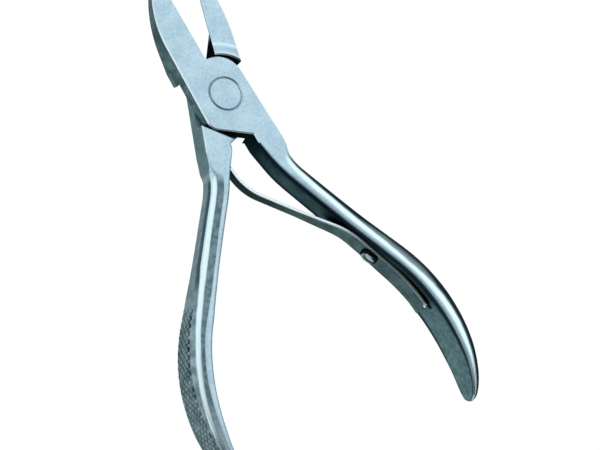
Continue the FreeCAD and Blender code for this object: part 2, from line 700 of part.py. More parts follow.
def narrow_strip(body, places, front):
    """Trim the front or the back side of the strip towards its free end."""
    taper_start = places["lift"][1]
    taper_end = f"{taper_start} + {of('spring_taper')}"
    wide = f"{MID_DEPTH} + {front} * {of('spring_heel_width')} / 2"
    narrow = f"{MID_DEPTH} + {front} * {of('spring_tip_width')} / 2"
    above = f"{MID_DEPTH} + {front} * {of('spring_heel_width')}"
    corners = {
        "start": (taper_start, wide),
        "end": (taper_end, narrow),
        "free_end": (f"{places['end'][1]} + {PAST}", narrow),
        "free_above": (f"{places['end'][1]} + {PAST}", above),
        "start_above": (taper_start, above),
    }
    name = "front" if front > 0 else "back"
    sketch = new_sketch(body, f"strip_{name}_trim", "YZ_Plane")
    outline(sketch, corners)
    add_feature(body, "Pocket", f"strip_{name}_taper", sketch, Type="ThroughAll", Midplane=True)


def circle_sketch(body, name, place, diameter):
    """Circle about the spring screw's axis, on a plane square to it."""
    x, y, lean = place
    offset = f"placement(vector({y}; {MID_DEPTH}; {x}); rotationy({lean}))"
    sketch = new_sketch(body, name, "YZ_Plane", offset)
    index = sketch.addGeometry(Part.Circle(Vector(), Vector(0, 0, 1), number(diameter) / 2))
    sketch.addConstraint(Sketcher.Constraint("Coincident", index, 3, -1, 1))
    constrain(sketch, Sketcher.Constraint("Radius", index, number(diameter) / 2), f"{diameter} / 2")
    return sketch


def drill_strip(body):
    hole = f"({of('screw_diameter')} + 2 * {of('screw_hole_play')})"
    sketch = circle_sketch(body, "strip_hole_outline", on_inner_side(FACE_TO_STRIP), hole)
    length = f"=2 * {of('spring_thickness')}"
    add_feature(body, "Pocket", "strip_hole", sketch, Length=length, Midplane=True)


def tap_handle(body):
    """Blind hole for the spring screw, from the inner side of the front handle."""
    sketch = circle_sketch(body, "screw_hole_outline", on_inner_side(PAST), of("screw_diameter"))
    length = f"={PAST} + {of('screw_depth')}"
    add_feature(body, "Pocket", "screw_hole", sketch, Length=length, Reversed=True)


def add_screw():
    """Pan-head screw, drawn upright with its head's seat at the origin and then laid over."""
    body = new_body("spring_screw")
    head_radius, thread = f"{of('screw_head_diameter')} / 2", f"{of('screw_diameter')} / 2"
    rim, height = of("screw_head_rim"), of("screw_head_height")
    seat = f"({of('spring_seat_gap')} + {of('spring_thickness')} + {of('screw_seat_gap')})"
    dome = f"({height} - {rim})"
    dome_radius = f"(({head_radius}) * ({head_radius}) + {dome} * {dome}) / (2 * {dome})"
    corners = {
        "axis_low": ("0", f"-({seat} + {of('screw_depth')})"),
        "thread_low": (thread, f"-({seat} + {of('screw_depth')})"),
        "thread_top": (thread, "0"),
        "seat": (head_radius, "0"),
        "rim": (head_radius, rim),
        "crown": ("0", height),
    }
    profile = new_sketch(body, "screw_half_profile", "XZ_Plane")
    outline(profile, corners, {"rim": ("0", f"{height} - {dome_radius}")})
    add_feature(body, "Revolution", "screw", profile, ReferenceAxis=(profile, ["V_Axis"]), Angle=360)
    slot = new_sketch(body, "slot_outline", "XZ_Plane")
    half_slot = f"{of('slot_width')} / 2"
    corners = {
        "low_left": (f"-{half_slot}", f"{height} - {of('slot_depth')}"),
        "low_right": (half_slot, f"{height} - {of('slot_depth')}"),
        "high_right": (half_slot, f"{height} + {PAST}"),
        "high_left": (f"-{half_slot}", f"{height} + {PAST}"),
    }
    outline(slot, corners)
    add_feature(body, "Pocket", "slot", slot, Type="ThroughAll", Midplane=True)
    x, y, lean = on_inner_side(seat)
    laid_over = f"rotationz({lean}) * rotationy(-90deg)"
    turned = f"placement(vector(0; 0; 0); rotationz({HALF_OPENING}))"
    body.setExpression("Placement", f"{turned} * placement(vector({x}; {y}; {MID_DEPTH}); {laid_over})")
    doc.recompute()
    return body


front_lever = add_lever("front", 1, from_back=True, rivet_play="0")
tap_handle(front_lever)
rear_lever = add_lever("rear", -1, from_back=False, rivet_play=of("running_clearance"))
pieces = [front_lever, rear_lever, add_rivet(), add_spring(), add_screw()]
doc.recompute()

for thing in doc.Objects:
    if "Invalid" in thing.State or "Error" in thing.State:
        raise RuntimeError(f"{thing.Name} failed: {thing.State}")
for piece in pieces:
    if piece.Shape.isNull() or not piece.Shape.isValid() or len(piece.Shape.Solids) != 1:
        raise RuntimeError(f"{piece.Label} is not one valid solid")

os.makedirs("parts", exist_ok=True)
for piece in pieces:
    piece.Shape.exportStep(f"parts/{piece.Label}.step")
    box = piece.Shape.BoundBox
    lengths = f"{box.XLength:.1f} by {box.YLength:.1f} by {box.ZLength:.1f} mm"
    print(f"{piece.Label}: {lengths}, {piece.Shape.Volume:.1f} mm3")
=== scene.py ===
import math
from functools import reduce
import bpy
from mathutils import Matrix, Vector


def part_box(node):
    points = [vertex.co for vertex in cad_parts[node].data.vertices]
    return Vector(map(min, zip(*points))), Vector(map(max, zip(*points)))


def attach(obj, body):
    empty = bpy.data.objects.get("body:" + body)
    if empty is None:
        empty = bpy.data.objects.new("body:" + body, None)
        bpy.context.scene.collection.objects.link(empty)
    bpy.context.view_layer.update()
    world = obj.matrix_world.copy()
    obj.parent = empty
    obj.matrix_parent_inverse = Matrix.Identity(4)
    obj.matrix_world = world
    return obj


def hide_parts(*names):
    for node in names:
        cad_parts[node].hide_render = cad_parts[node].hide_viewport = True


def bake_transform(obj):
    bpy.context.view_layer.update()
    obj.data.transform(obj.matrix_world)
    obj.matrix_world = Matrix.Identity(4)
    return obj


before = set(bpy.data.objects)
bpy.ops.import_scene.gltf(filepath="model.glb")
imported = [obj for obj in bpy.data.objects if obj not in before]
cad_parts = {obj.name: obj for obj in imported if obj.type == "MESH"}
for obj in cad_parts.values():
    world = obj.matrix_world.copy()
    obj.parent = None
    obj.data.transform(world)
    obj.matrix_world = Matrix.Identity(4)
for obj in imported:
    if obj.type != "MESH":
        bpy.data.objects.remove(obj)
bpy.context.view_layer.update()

from types import SimpleNamespace

import bmesh
import bpy
import numpy as np
from mathutils import Matrix, Vector

# Flush-cutting nippers: two forged levers crossed on a flush rivet, and a leaf spring that is
# screwed to the inner side of the front lever's handle and rides on the other handle.
# Lengths are in millimetres in the geometry below and become metres when a mesh is made.
MM = 0.001

# Both levers are drawn closed, with X reversed for the rear one, then turned about the rivet.
HALF_OPENING = math.radians(8.25)
SIDES = {"front": 1, "rear": -1}

# Sizes of the joint and the handles, as the CAD model has them.
MID_DEPTH = 3.4
JOINT_THICKNESS = 2 * MID_DEPTH
NECK_HEIGHT = 14.0
NECK_CENTRE = {"front": 4.15, "rear": 6.3}
NECK_WIDTH = {"front": 6.1, "rear": 5.1}
NECK_FLARE = {"front": 0.5, "rear": 1.85}
FLARE_END, FLARE_FALL = 0.75, 2
NECK_CORNER = 0.4
KNEE_RADIUS, SPLAY = 27.5, math.radians(24)
SHANK_LENGTH = 32.1
PALM_RADIUS, PALM_TURN = 44.0, math.radians(34)
TIP_RADIUS, TIP_TURN = 39.0, math.radians(20)
WAIST_WIDTH, WAIST_DEPTH = 4.85, 7.5
PALM_WIDTH, PALM_DEPTH = 5.6, 11.0
GRIP_CORNER = 0.7

KNEE_LENGTH = KNEE_RADIUS * SPLAY
PALM_START = KNEE_LENGTH + SHANK_LENGTH
TIP_START = PALM_START + PALM_RADIUS * PALM_TURN
HANDLE_LENGTH = TIP_START + TIP_RADIUS * TIP_TURN
SCREW_ALONG, SCREW_SWELLING = PALM_START - 6.2, 0.45


# Curves, points and meshes.

def steady_curve(xs, ys, at):
    """Smooth curve through points that never overshoots them."""
    xs, ys, at = (np.asarray(v, float) for v in (xs, ys, at))
    step = np.diff(xs)
    slope = np.diff(ys) / step
    tangent = np.zeros(len(xs))
    for i in range(1, len(xs) - 1):
        if slope[i - 1] * slope[i] > 0:
            w1, w2 = 2 * step[i] + step[i - 1], step[i] + 2 * step[i - 1]
            tangent[i] = (w1 + w2) / (w1 / slope[i - 1] + w2 / slope[i])
    tangent[0], tangent[-1] = slope[0], slope[-1]
    k = np.clip(np.searchsorted(xs, at, side="right") - 1, 0, len(xs) - 2)
    t = np.clip((at - xs[k]) / step[k], 0, 1)
    start = (1 + 2 * t) * (1 - t) ** 2 * ys[k] + t * (1 - t) ** 2 * step[k] * tangent[k]
    return start + t * t * (3 - 2 * t) * ys[k + 1] + t * t * (t - 1) * step[k] * tangent[k + 1]


def ramp(value, low, high):
    """0 up to low, 1 from high on, and smooth between."""
    t = np.clip((np.asarray(value, float) - low) / (high - low), 0, 1)
    return t * t * (3 - 2 * t)


def raised(value, low, full, last, end):
    """1 between two values, and 0 outside two others."""
    return float(ramp(value, low, full)) * (1 - float(ramp(value, last, end)))


def opened(point, side=1):
    """Where the open tool has a point that was drawn closed, in metres."""
    turn = side * HALF_OPENING
    x, y = point[0] * side, point[1]
    place = (x * math.cos(turn) - y * math.sin(turn), x * math.sin(turn) + y * math.cos(turn), point[2])
    return np.array(place) * MM


def around_circle(radius, height, steps):
    turns = [2 * math.pi * k / steps for k in range(steps)]
    return [(radius * math.cos(turn), radius * math.sin(turn), height) for turn in turns]


def new_layers(bm, names):
    return [bm.verts.layers.float.new(name) for name in names]


def add_ring(bm, layers, points, traits):
    """Ring of vertices, each with its values for the layers."""
    ring = [bm.verts.new(point) for point in points]
    for vertex, values in zip(ring, traits):
        for layer, value in zip(layers, values):
            vertex[layer] = value
    return ring


def skin(bm, rows):
    """Faces between rings of vertices, one after the other, some of which are single points."""
    for upper, lower in zip(rows, rows[1:]):
        count = max(len(upper), len(lower))
        for k in range(count):
            after = (k + 1) % count
            corners = (upper[k % len(upper)], upper[after % len(upper)],
                       lower[after % len(lower)], lower[k % len(lower)])
            bm.faces.new([c for n, c in enumerate(corners) if c not in corners[:n]])


def mesh_from(bm, name):
    mesh = bpy.data.meshes.new(name)
    bm.to_mesh(mesh)
    bm.free()
    return mesh


def new_object(name, data):
    thing = bpy.data.objects.new(name, data)
    bpy.context.scene.collection.objects.link(thing)
    return thing


# Handles.

def handle_line(lever, along):
    """Place and splay of the handle's centre line at a length along it."""
    along = np.asarray(along, float)
    x = np.full(along.shape, NECK_CENTRE[lever])
    y = np.full(along.shape, -NECK_HEIGHT)
    splay = np.zeros(along.shape)
    runs = (
        (KNEE_LENGTH, 1 / KNEE_RADIUS),
        (SHANK_LENGTH, 0.0),
        (PALM_RADIUS * PALM_TURN, -1 / PALM_RADIUS),
        (TIP_RADIUS * TIP_TURN, -1 / TIP_RADIUS),
    )
    start = 0.0
    for length, bend in runs:
        part = np.clip(along - start, 0, length)
        half_turn = part * bend / 2
        chord = part * np.sinc(half_turn / math.pi)
        x = x + chord * np.sin(splay + half_turn)
        y = y - chord * np.cos(splay + half_turn)
        splay = splay + 2 * half_turn
        start += length
    return x, y, splay


def outer_round(width, depth):
    return min(width * 0.54, depth * 0.32)


def neck_flare(lever, along):
    """How much further in the inner side stands near the joint."""
    left = np.maximum(1 - np.asarray(along, float) / KNEE_LENGTH / FLARE_END, 0)
    return NECK_FLARE[lever] * left ** FLARE_FALL


def handle_sections(lever):
    """Length along the handle, width, depth and outer rounding of each known section, without
    the flare of its inner side."""
    neck = NECK_WIDTH[lever]
    rows = []

    def add(along, width, depth, growth=1):
        rounding = NECK_CORNER + (outer_round(width, depth) - NECK_CORNER) * growth
        rows.append((along, width, depth, rounding))

    # Share of the knee, and how far the width, depth and outer rounding have changed by then.
    knee = ((0, 0, 0, 0), (0.15, 0.07, 0, 0), (0.3, 0.22, 0, 0.02), (0.44, 0.45, 0.15, 0.5),
            (0.58, 0.67, 0.35, 0.98), (0.75, 0.88, 0.6, 1), (1, 1, 0.9, 1))
    for share, narrowed, deepened, growth in knee:
        add(share * KNEE_LENGTH, neck + (WAIST_WIDTH - neck) * narrowed,
            JOINT_THICKNESS + (WAIST_DEPTH - JOINT_THICKNESS) * deepened, growth)
    # Length along the handle, and how far it has swollen from waist to palm in width and depth.
    swelling = ((KNEE_LENGTH + 0.25 * SHANK_LENGTH, 0.02, 0.04),
                (KNEE_LENGTH + 0.55 * SHANK_LENGTH, 0.14, 0.24),
                (SCREW_ALONG, SCREW_SWELLING, 0.63), (PALM_START, 0.88, 0.88))
    for along, wider, deeper in swelling:
        add(along, WAIST_WIDTH + (PALM_WIDTH - WAIST_WIDTH) * wider,
            WAIST_DEPTH + (PALM_DEPTH - WAIST_DEPTH) * deeper)
    # Length along the handle, and the shares of the palm's width and depth that are left there.
    palm, tip = TIP_START - PALM_START, HANDLE_LENGTH - TIP_START
    taper = ((PALM_START + 0.4 * palm, 1, 1), (PALM_START + 0.7 * palm, 0.93, 0.99), (TIP_START, 0.77, 0.945),
             (TIP_START + 0.4 * tip, 0.56, 0.85), (TIP_START + 0.7 * tip, 0.4, 0.7),
             (TIP_START + 0.9 * tip, 0.26, 0.48), (HANDLE_LENGTH, 0.14, 0.24))
    for along, wide, high in taper:
        add(along, PALM_WIDTH * wide, PALM_DEPTH * high)
    return np.array(rows)


# Rows of vertices along the handle, closer together where the grip is cut.
GRIP_START, GRIP_FADE, GRIP_END = 35.5, 9.0, HANDLE_LENGTH - 1.2
ROW_STEP, GRIP_STEP, GRIP_ROWS = 0.4, 0.16, 33.0
CLOSEST_ROWS = 0.05

# The handle's end is a round cap, which keeps a small share of its size up to the last row.
CAP_LENGTH, CAP_STEPS, CAP_END = 0.9, 9, 0.12

# The broad faces are crowned, by so much and from one length along the handle to another on.
CROWN, CROWN_START, CROWN_FULL = 0.07, 7, 12

# The handle is painted with black shade beside the spring strip, from and to these lengths along it.
BESIDE_STRIP = (24.0, 30.0, 57.9, 58.4)


def handle_rows():
    cap = [HANDLE_LENGTH - CAP_LENGTH * (1 - k / CAP_STEPS) ** 2 for k in range(CAP_STEPS + 1)]
    plain = np.arange(0.3, GRIP_ROWS, ROW_STEP)
    fine = np.arange(GRIP_ROWS, HANDLE_LENGTH - 1.0, GRIP_STEP)
    rows = np.unique(np.round(np.concatenate([plain, fine, cap]), 4))
    keep = [rows[0]]
    for row in rows[1:]:
        if row - keep[-1] > CLOSEST_ROWS:
            keep.append(row)
    keep[-1] = HANDLE_LENGTH
    return np.array(keep)


# Checkering: two crossing sets of grooves.
CHECK_PITCH, CHECK_DEPTH, CHECK_EDGE = 1.8, 0.24, 60

# The polished band of each handle lies between two levels, at lengths along the handle. Its
# near-white colour is a painted highlight; only its lower roughness is real polish. A level is an
# angle into the rounded outer side, or, as a negative number, tenths of a millimetre in from
# where the rounding starts.
BANDS = {
    "rear": ((5, 30, 62), (8, 24, 56), (12, 21, 52), (30, 21, 51), (36, 21, 43), (42, 17, 36),
             (50, 11, 28), (58, 12, 29), (66, 20, 37), (71, 28, 44), (80, 38, 56)),
    "front": ((3, 6, 30), (8, -1, 20), (15, -6, 9), (22, -7, 6), (30, -10, 2), (38, -15, -2),
              (45, -21, -7), (52, -18, -4), (58, -11, 1), (65, -10, 4), (72, -13, 2), (81, -20, 0),
              (86, -24, 0)),
}

# The stretches of a cross-section, in order, and the steps in each of them.
INNER, INNER_FRONT, FRONT, OUTER_FRONT, OUTER, OUTER_BACK, BACK, INNER_BACK = range(8)
INNER_STEPS, CORNER_STEPS, FLAT_STEPS, ROUND_STEPS, OUTER_STEPS = 21, 6, 8, 26, 28

# What the material is told of each vertex: the angle that it faces, alike for front and back;
# its share in the grip; the shade beside the strip; its place along and around the handle; how
# deep it is cut; its level, and how far that is past the two edges of the polished band.
TRAITS = ("fold", "grip", "shade", "along", "around", "cut", "level", "past_low", "past_high")
FACE_TRAITS = ("side_wall", "bevel", "handle")


def zigzag(value):
    """0 at whole numbers and 1 half-way between them."""
    return 1 - np.abs(2 * (value - np.floor(value)) - 1)


def quarter_turn(steps):
    """Angles after each step of a quarter turn, in radians and in degrees."""
    angles = 90 * np.arange(1, steps + 1) / steps
    return np.radians(angles), angles


def section_outline(width, depth, rounding, crown, tip_in):
    """Points of one cross-section, across (outwards) and deep (to the front), with the angle
    that each faces, from 0 at the front to 90 degrees outwards to 180 degrees at the back, and
    the stretch that it is in."""
    half, deep = width / 2, depth / 2
    inner = min(GRIP_CORNER, 0.2 * width)
    inner = inner + (NECK_CORNER - inner) * tip_in
    flat, wall = deep - inner, deep - rounding
    start, end = -half + inner, half - rounding
    corner, corner_angle = quarter_turn(CORNER_STEPS)
    turn, angle = quarter_turn(ROUND_STEPS)
    on_flat, on_outer = (np.arange(1, steps + 1) / steps for steps in (FLAT_STEPS, OUTER_STEPS))
    stretches = (
        (-half, np.linspace(-flat, flat, INNER_STEPS + 1)[1:], -90),
        (-half + inner * (1 - np.cos(corner)), flat + inner * np.sin(corner), corner_angle - 90),
        (start + (end - start) * on_flat, deep, 0),
        (end + rounding * np.sin(turn), deep - rounding * (1 - np.cos(turn)), angle),
        (half, wall - 2 * wall * on_outer, 90),
        (end + rounding * np.cos(turn), -wall - rounding * np.sin(turn), 90 + angle),
        (end + (start - end) * on_flat, -deep, 180),
        (start - inner * np.sin(corner), -flat - inner * np.cos(corner), 180 + corner_angle),
    )
    across, height, facing, part = np.concatenate(
        [np.stack(np.broadcast_arrays(*values, float(part)), 1) for part, values in enumerate(stretches)]).T
    # The broad faces are slightly crowned: their sides fall away from the middle, the outer
    # side over into the rounding.
    share = np.clip(2 * (across - start) / max(end - start, 0.01) - 1, -1.6, 1.0)
    on_broad = (np.abs(height) > deep - 0.75 * inner) & (across < end + 0.01)
    fall = np.where(on_broad, np.minimum(crown * share * share, 0.12), 0.0)
    in_rounding = np.isin(part, (OUTER_FRONT, OUTER_BACK))
    fall = np.where(in_rounding, crown * np.abs(np.cos(np.radians(facing))), fall)
    return across, height - np.sign(height) * fall, facing, part


def length_around(across, height, facing, part, width, depth, rounding):
    """Length around the outer side, from the middle of its flat, positive to the front."""
    start, wall = width / 2 - rounding, depth / 2 - rounding
    quarter = rounding * math.pi / 2
    around = np.where(part == OUTER, height, 0.0)
    around = np.where(part == OUTER_FRONT, wall + rounding * np.radians(90 - facing), around)
    around = np.where(part == OUTER_BACK, -wall - rounding * np.radians(facing - 90), around)
    around = np.where(part == FRONT, wall + quarter + (start - across), around)
    return np.where(part == BACK, -wall - quarter - (start - across), around)


def handle_mesh(lever):
    """Vertices (closed position) in rows, with the traits of each one, for one handle."""
    known = handle_sections(lever)
    rows = handle_rows()
    widths, depths, rounds = (steady_curve(known[:, 0], known[:, k], rows) for k in (1, 2, 3))
    x, y, splay = handle_line(lever, rows)
    band = np.array(BANDS[lever], float)
    rings, traits = [], []
    for i, along in enumerate(rows):
        neck = 1 - float(ramp(along, 0, 4))
        crown = CROWN * float(ramp(along, CROWN_START, CROWN_FULL))
        flare = float(neck_flare(lever, along))
        in_cap = max(1 - (HANDLE_LENGTH - along) / CAP_LENGTH, 0)
        size = max(math.sqrt(1 - in_cap ** 2), CAP_END)
        width, depth, rounding = (widths[i] + flare) * size, depths[i] * size, rounds[i] * size
        across, height, facing, part = section_outline(width, depth, rounding, crown, neck)
        around = length_around(across, height, facing, part, width, depth, rounding)
        # The cut grip.
        grip = raised(along, GRIP_START, GRIP_START + GRIP_FADE, GRIP_END - 1.0, GRIP_END)
        in_grip = np.isin(part, (OUTER_FRONT, OUTER, OUTER_BACK))
        in_grip = in_grip & (facing > CHECK_EDGE) & (facing < 180 - CHECK_EDGE)
        one, two = zigzag((along + around) / CHECK_PITCH), zigzag((along - around) / CHECK_PITCH)
        groove = np.clip(1.25 - 1.5 * np.minimum(one, two), 0, 1)
        cut = CHECK_DEPTH * grip * groove * in_grip
        across = across - cut * np.sin(np.radians(facing))
        height = height - cut * np.cos(np.radians(facing))
        # The two broad faces are alike, so one angle and one distance serve for both.
        fold = 90 - np.abs(facing - 90)
        inset = np.where(np.isin(part, (FRONT, BACK)), width / 2 - rounding - across, 0.0)
        inset = np.where(np.isin(part, (INNER, INNER_FRONT, INNER_BACK)), 3.0, inset)
        level = np.where(inset > 0.02, -10 * inset, fold)
        from_corner = np.max(height[part == INNER]) - np.abs(height)
        level = np.where(part == INNER, -30 - 10 * from_corner, level)
        low, high = (float(np.interp(along, band[:, 0], band[:, k])) for k in (1, 2))
        beside = raised(along, *BESIDE_STRIP) if lever == "front" else 0.0
        shade = beside * (part == INNER) * ramp(height, 0.6, 1.1) * (1 - 0.75 * ramp(height, 1.9, 2.5))
        # Up to the knee's end the inner side stays where the neck has it.
        shift = (width - WAIST_WIDTH) / 2 - flare if along < KNEE_LENGTH else 0.0
        offset = across + shift
        places = (x[i] + offset * math.cos(splay[i]), y[i] + offset * math.sin(splay[i]), MID_DEPTH + height)
        rings.append(np.stack(places, 1))
        # The last value marks the vertices of the handle.
        values = (fold, grip * in_grip, shade, along, around, cut / CHECK_DEPTH, level, level - low,
                  level - high, 1.0)
        traits.append(np.stack(np.broadcast_arrays(*values), 1))
    return np.array(rings), np.array(traits)


# Joints and jaws come from the CAD mesh, above a cut just over the neck line.
CUT_HEIGHT = -13.9


def closed_joint(lever):
    """bmesh of the CAD lever in the closed position, in millimetres, without its handle."""
    side = SIDES[lever]
    bm = bmesh.new()
    bm.from_mesh(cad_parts[f"{lever}_lever"].data)
    turn = Matrix.Rotation(-side * HALF_OPENING, 4, "Z")
    mirror = Matrix.Diagonal((side, 1, 1, 1))
    bmesh.ops.transform(bm, matrix=mirror @ turn @ Matrix.Scale(1 / MM, 4), verts=bm.verts)
    bmesh.ops.remove_doubles(bm, verts=bm.verts, dist=0.0005)
    everything = bm.verts[:] + bm.edges[:] + bm.faces[:]
    bmesh.ops.bisect_plane(bm, geom=everything, dist=0.0002, plane_co=(0, CUT_HEIGHT, 0),
                           plane_no=(0, -1, 0), clear_outer=True)
    return bm


def close_between(bm, rings, centre):
    """Triangles between two rings of vertices that go round one centre."""
    def angle(vertex):
        return math.atan2(vertex.co.z - centre[1], vertex.co.x - centre[0])

    first, second = (sorted(ring, key=angle) for ring in rings)
    first_next, second_next = ([angle(v) for v in ring[1:]] + [angle(ring[0]) + 2 * math.pi]
                               for ring in (first, second))
    i = j = 0
    while i < len(first) or j < len(second):
        corners = [first[i % len(first)], second[j % len(second)]]
        if j == len(second) or (i < len(first) and first_next[i] <= second_next[j]):
            i += 1
            corners.insert(1, first[i % len(first)])
        else:
            j += 1
            corners.insert(1, second[j % len(second)])
        bm.faces.new(corners)


def lever_mesh(lever):
    """The whole lever as one closed mesh in metres, with traits for its material."""
    bm = closed_joint(lever)
    layers = new_layers(bm, TRAITS + ("in_handle",))
    along, around = (layers[TRAITS.index(name)] for name in ("along", "around"))
    rim = [e for e in bm.edges if e.is_boundary and all(abs(v.co.y - CUT_HEIGHT) < 0.01 for v in e.verts)]
    for vertex in bm.verts:
        vertex[along], vertex[around] = CUT_HEIGHT - vertex.co.y, vertex.co.x
    grid = [add_ring(bm, layers, points, traits) for points, traits in zip(*handle_mesh(lever))]
    skin(bm, grid)
    bm.faces.new(grid[-1])
    # The joint and the handle are joined by a strip of triangles round the neck.
    centre = (NECK_CENTRE[lever] + (NECK_WIDTH[lever] - WAIST_WIDTH - NECK_FLARE[lever]) / 2, MID_DEPTH)
    close_between(bm, ({v for e in rim for v in e.verts}, grid[0]), centre)
    bmesh.ops.recalc_face_normals(bm, faces=bm.faces)
    for vertex in bm.verts:
        vertex.co = opened(vertex.co, SIDES[lever])
    bmesh.ops.recalc_face_normals(bm, faces=bm.faces)
    mesh = mesh_from(bm, f"{lever}_lever_detailed")
    # The CAD mesh's own normals no longer fit the new faces.
    if "custom_normal" in mesh.attributes:
        mesh.attributes.remove(mesh.attributes["custom_normal"])
    return mesh


def face_kinds(mesh):
    """Stores for each face whether it is a side wall or a narrow bevel of the joint, or on the
    handle. Gives the flat faces of the joint, so that they can be shaded flat."""
    normals = np.zeros(len(mesh.polygons) * 3)
    mesh.polygons.foreach_get("normal", normals)
    upright = np.abs(normals.reshape(-1, 3)[:, 2])
    handle = np.zeros(len(mesh.vertices))
    mesh.attributes["in_handle"].data.foreach_get("value", handle)
    on_handle = np.array([min(handle[v] for v in p.vertices) > 0.5 for p in mesh.polygons])
    bevel = (upright > 0.5) & (upright < 0.9)
    for name, kind in zip(FACE_TRAITS, ((upright < 0.35) & ~on_handle, bevel & ~on_handle, on_handle)):
        mesh.attributes.new(name, "FLOAT", "FACE").data.foreach_set("value", kind.astype(np.float32))
    return (upright > 0.9995) & ~on_handle


def make_object(name, mesh, sharp_degrees, flat=None):
    """Object with smooth shading up to an angle between faces, and flat shading where asked."""
    mesh.set_sharp_from_angle(angle=math.radians(sharp_degrees))
    smooth = np.ones(len(mesh.polygons), bool) if flat is None else ~flat
    mesh.polygons.foreach_set("use_smooth", smooth)
    return new_object(name, mesh)


levers = {}
for lever in SIDES:
    mesh = lever_mesh(lever)
    levers[lever] = make_object(f"{lever}_lever_detailed", mesh, 26, face_kinds(mesh))
    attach(levers[lever], lever)
    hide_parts(f"{lever}_lever")


# Spring strip.

THICKNESS, HEEL_WIDTH, TIP_WIDTH, NARROWING = 0.8, 5.4, 3.0, 13.0
SEAT_GAP, SEAT_TAPER = 0.08, math.radians(1.3)
HEEL_STRAIGHT, HEEL_BEND = 4.5, 14.0
LIFT_OFF, LIFT_RADIUS, LIFT_TURN = 4.6, 19.0, math.radians(19.7)
CURL_RADIUS, CURL_TURN, CURL_END = 13.2, math.radians(37), 1.8
LIFT_LENGTH, CURL_LENGTH = LIFT_RADIUS * LIFT_TURN, CURL_RADIUS * CURL_TURN
TOUCH_PLACE, TOUCH_GAP = 0.32, 0.1
SCREW_SEAT_GAP = 0.02
SEAT_LEAN = SPLAY - SEAT_TAPER


def on_inner_side(distance):
    """Place at a distance off the front handle's inner side, square to it at the screw."""
    x, y, splay = (float(v) for v in handle_line("front", SCREW_ALONG))
    half = (WAIST_WIDTH + (PALM_WIDTH - WAIST_WIDTH) * SCREW_SWELLING) / 2
    x, y = x - half * math.cos(splay), y - half * math.sin(splay)
    return x - distance * math.cos(SEAT_LEAN), y - distance * math.sin(SEAT_LEAN), SEAT_LEAN


def run_on(start, length, bend=0.0):
    """Place further along a run that is straight, or bends so much for each millimetre."""
    x, y, lean = start
    half_turn = length * bend / 2
    chord, middle = length * float(np.sinc(half_turn / math.pi)), lean + half_turn
    return x - chord * math.sin(middle), y + chord * math.cos(middle), middle + half_turn


def touching_length(start):
    """Length of the straight span that lays the free end against the rear handle."""
    x, y, splay = (float(v) for v in handle_line("rear", TOUCH_PLACE * KNEE_LENGTH))
    off_line = WAIST_WIDTH / 2 + float(neck_flare("rear", TOUCH_PLACE * KNEE_LENGTH))
    x, y = x - off_line * math.cos(splay), y - off_line * math.sin(splay)
    opening = 2 * HALF_OPENING
    facing = splay + opening
    rear_x = y * math.sin(opening) - x * math.cos(opening)
    rear_y = x * math.sin(opening) + y * math.cos(opening)
    end_x, end_y, lean = run_on(run_on(start, CURL_LENGTH, -1 / CURL_RADIUS), CURL_END)
    apart = (end_x - rear_x) * math.cos(facing) - (end_y - rear_y) * math.sin(facing)
    corner = THICKNESS / 2 * math.cos(lean + facing)
    return (apart - TOUCH_GAP - corner) / math.sin(start[2] + facing)


def spring_line():
    """Places along the strip's middle from heel to free end, and where its screw, its lift off
    the handle and its span are."""
    screw = on_inner_side(SEAT_GAP + THICKNESS / 2)
    heel_bend, lift_bend, curl_bend = 1 / (PALM_RADIUS - PALM_WIDTH / 2), 1 / LIFT_RADIUS, -1 / CURL_RADIUS
    heel_start = run_on(screw, -HEEL_STRAIGHT)
    heel = run_on(heel_start, -HEEL_BEND, heel_bend)
    lift = run_on(screw, LIFT_OFF)
    span = run_on(lift, LIFT_LENGTH, lift_bend)
    span_length = touching_length(span)
    curl = run_on(span, span_length)
    curled = run_on(curl, CURL_LENGTH, curl_bend)
    runs = ((heel, HEEL_BEND, heel_bend), (heel_start, HEEL_STRAIGHT + LIFT_OFF, 0),
            (lift, LIFT_LENGTH, lift_bend), (span, span_length, 0),
            (curl, CURL_LENGTH, curl_bend), (curled, CURL_END, 0))
    places = []
    for start, length, bend in runs:
        count = max(math.ceil(length / STRIP_STEP), 2)
        places += [run_on(start, length * k / count, bend) for k in range(count)]
    places.append(run_on(curled, CURL_END))
    return np.array(places), screw, lift, span


STRIP_EDGE, STRIP_END_ROUND, STRIP_STEP = 0.17, 0.45, 0.35
# Extra rows close to both ends, where the corners are rounded.
END_ROWS = (0.03, 0.1, 0.2)
EDGE_STEPS, SIDE_STEPS = 4, 6


def strip_outline(thick, half):
    """Points (across, up) of the strip's cross-section, with rounded corners."""
    arcs = []
    for corner, (across, up) in enumerate(((1, 1), (-1, 1), (-1, -1), (1, -1))):
        turns = [math.radians(90 * corner + 90 / EDGE_STEPS * k) for k in range(EDGE_STEPS + 1)]
        arcs.append([((thick - STRIP_EDGE) * across + STRIP_EDGE * math.cos(turn),
                      (half - STRIP_EDGE) * up + STRIP_EDGE * math.sin(turn)) for turn in turns])
    outline = []
    for arc, following in zip(arcs, arcs[1:] + arcs[:1]):
        (x, y), (next_x, next_y) = arc[-1], following[0]
        outline += arc
        outline += [(x + (next_x - x) * k / SIDE_STEPS, y + (next_y - y) * k / SIDE_STEPS)
                    for k in range(1, SIDE_STEPS)]
    return outline


def rounded_off(radius, off_end):
    """How much a corner's rounding takes off, close to an end."""
    return radius - math.sqrt(radius ** 2 - max(radius - off_end, 0) ** 2)


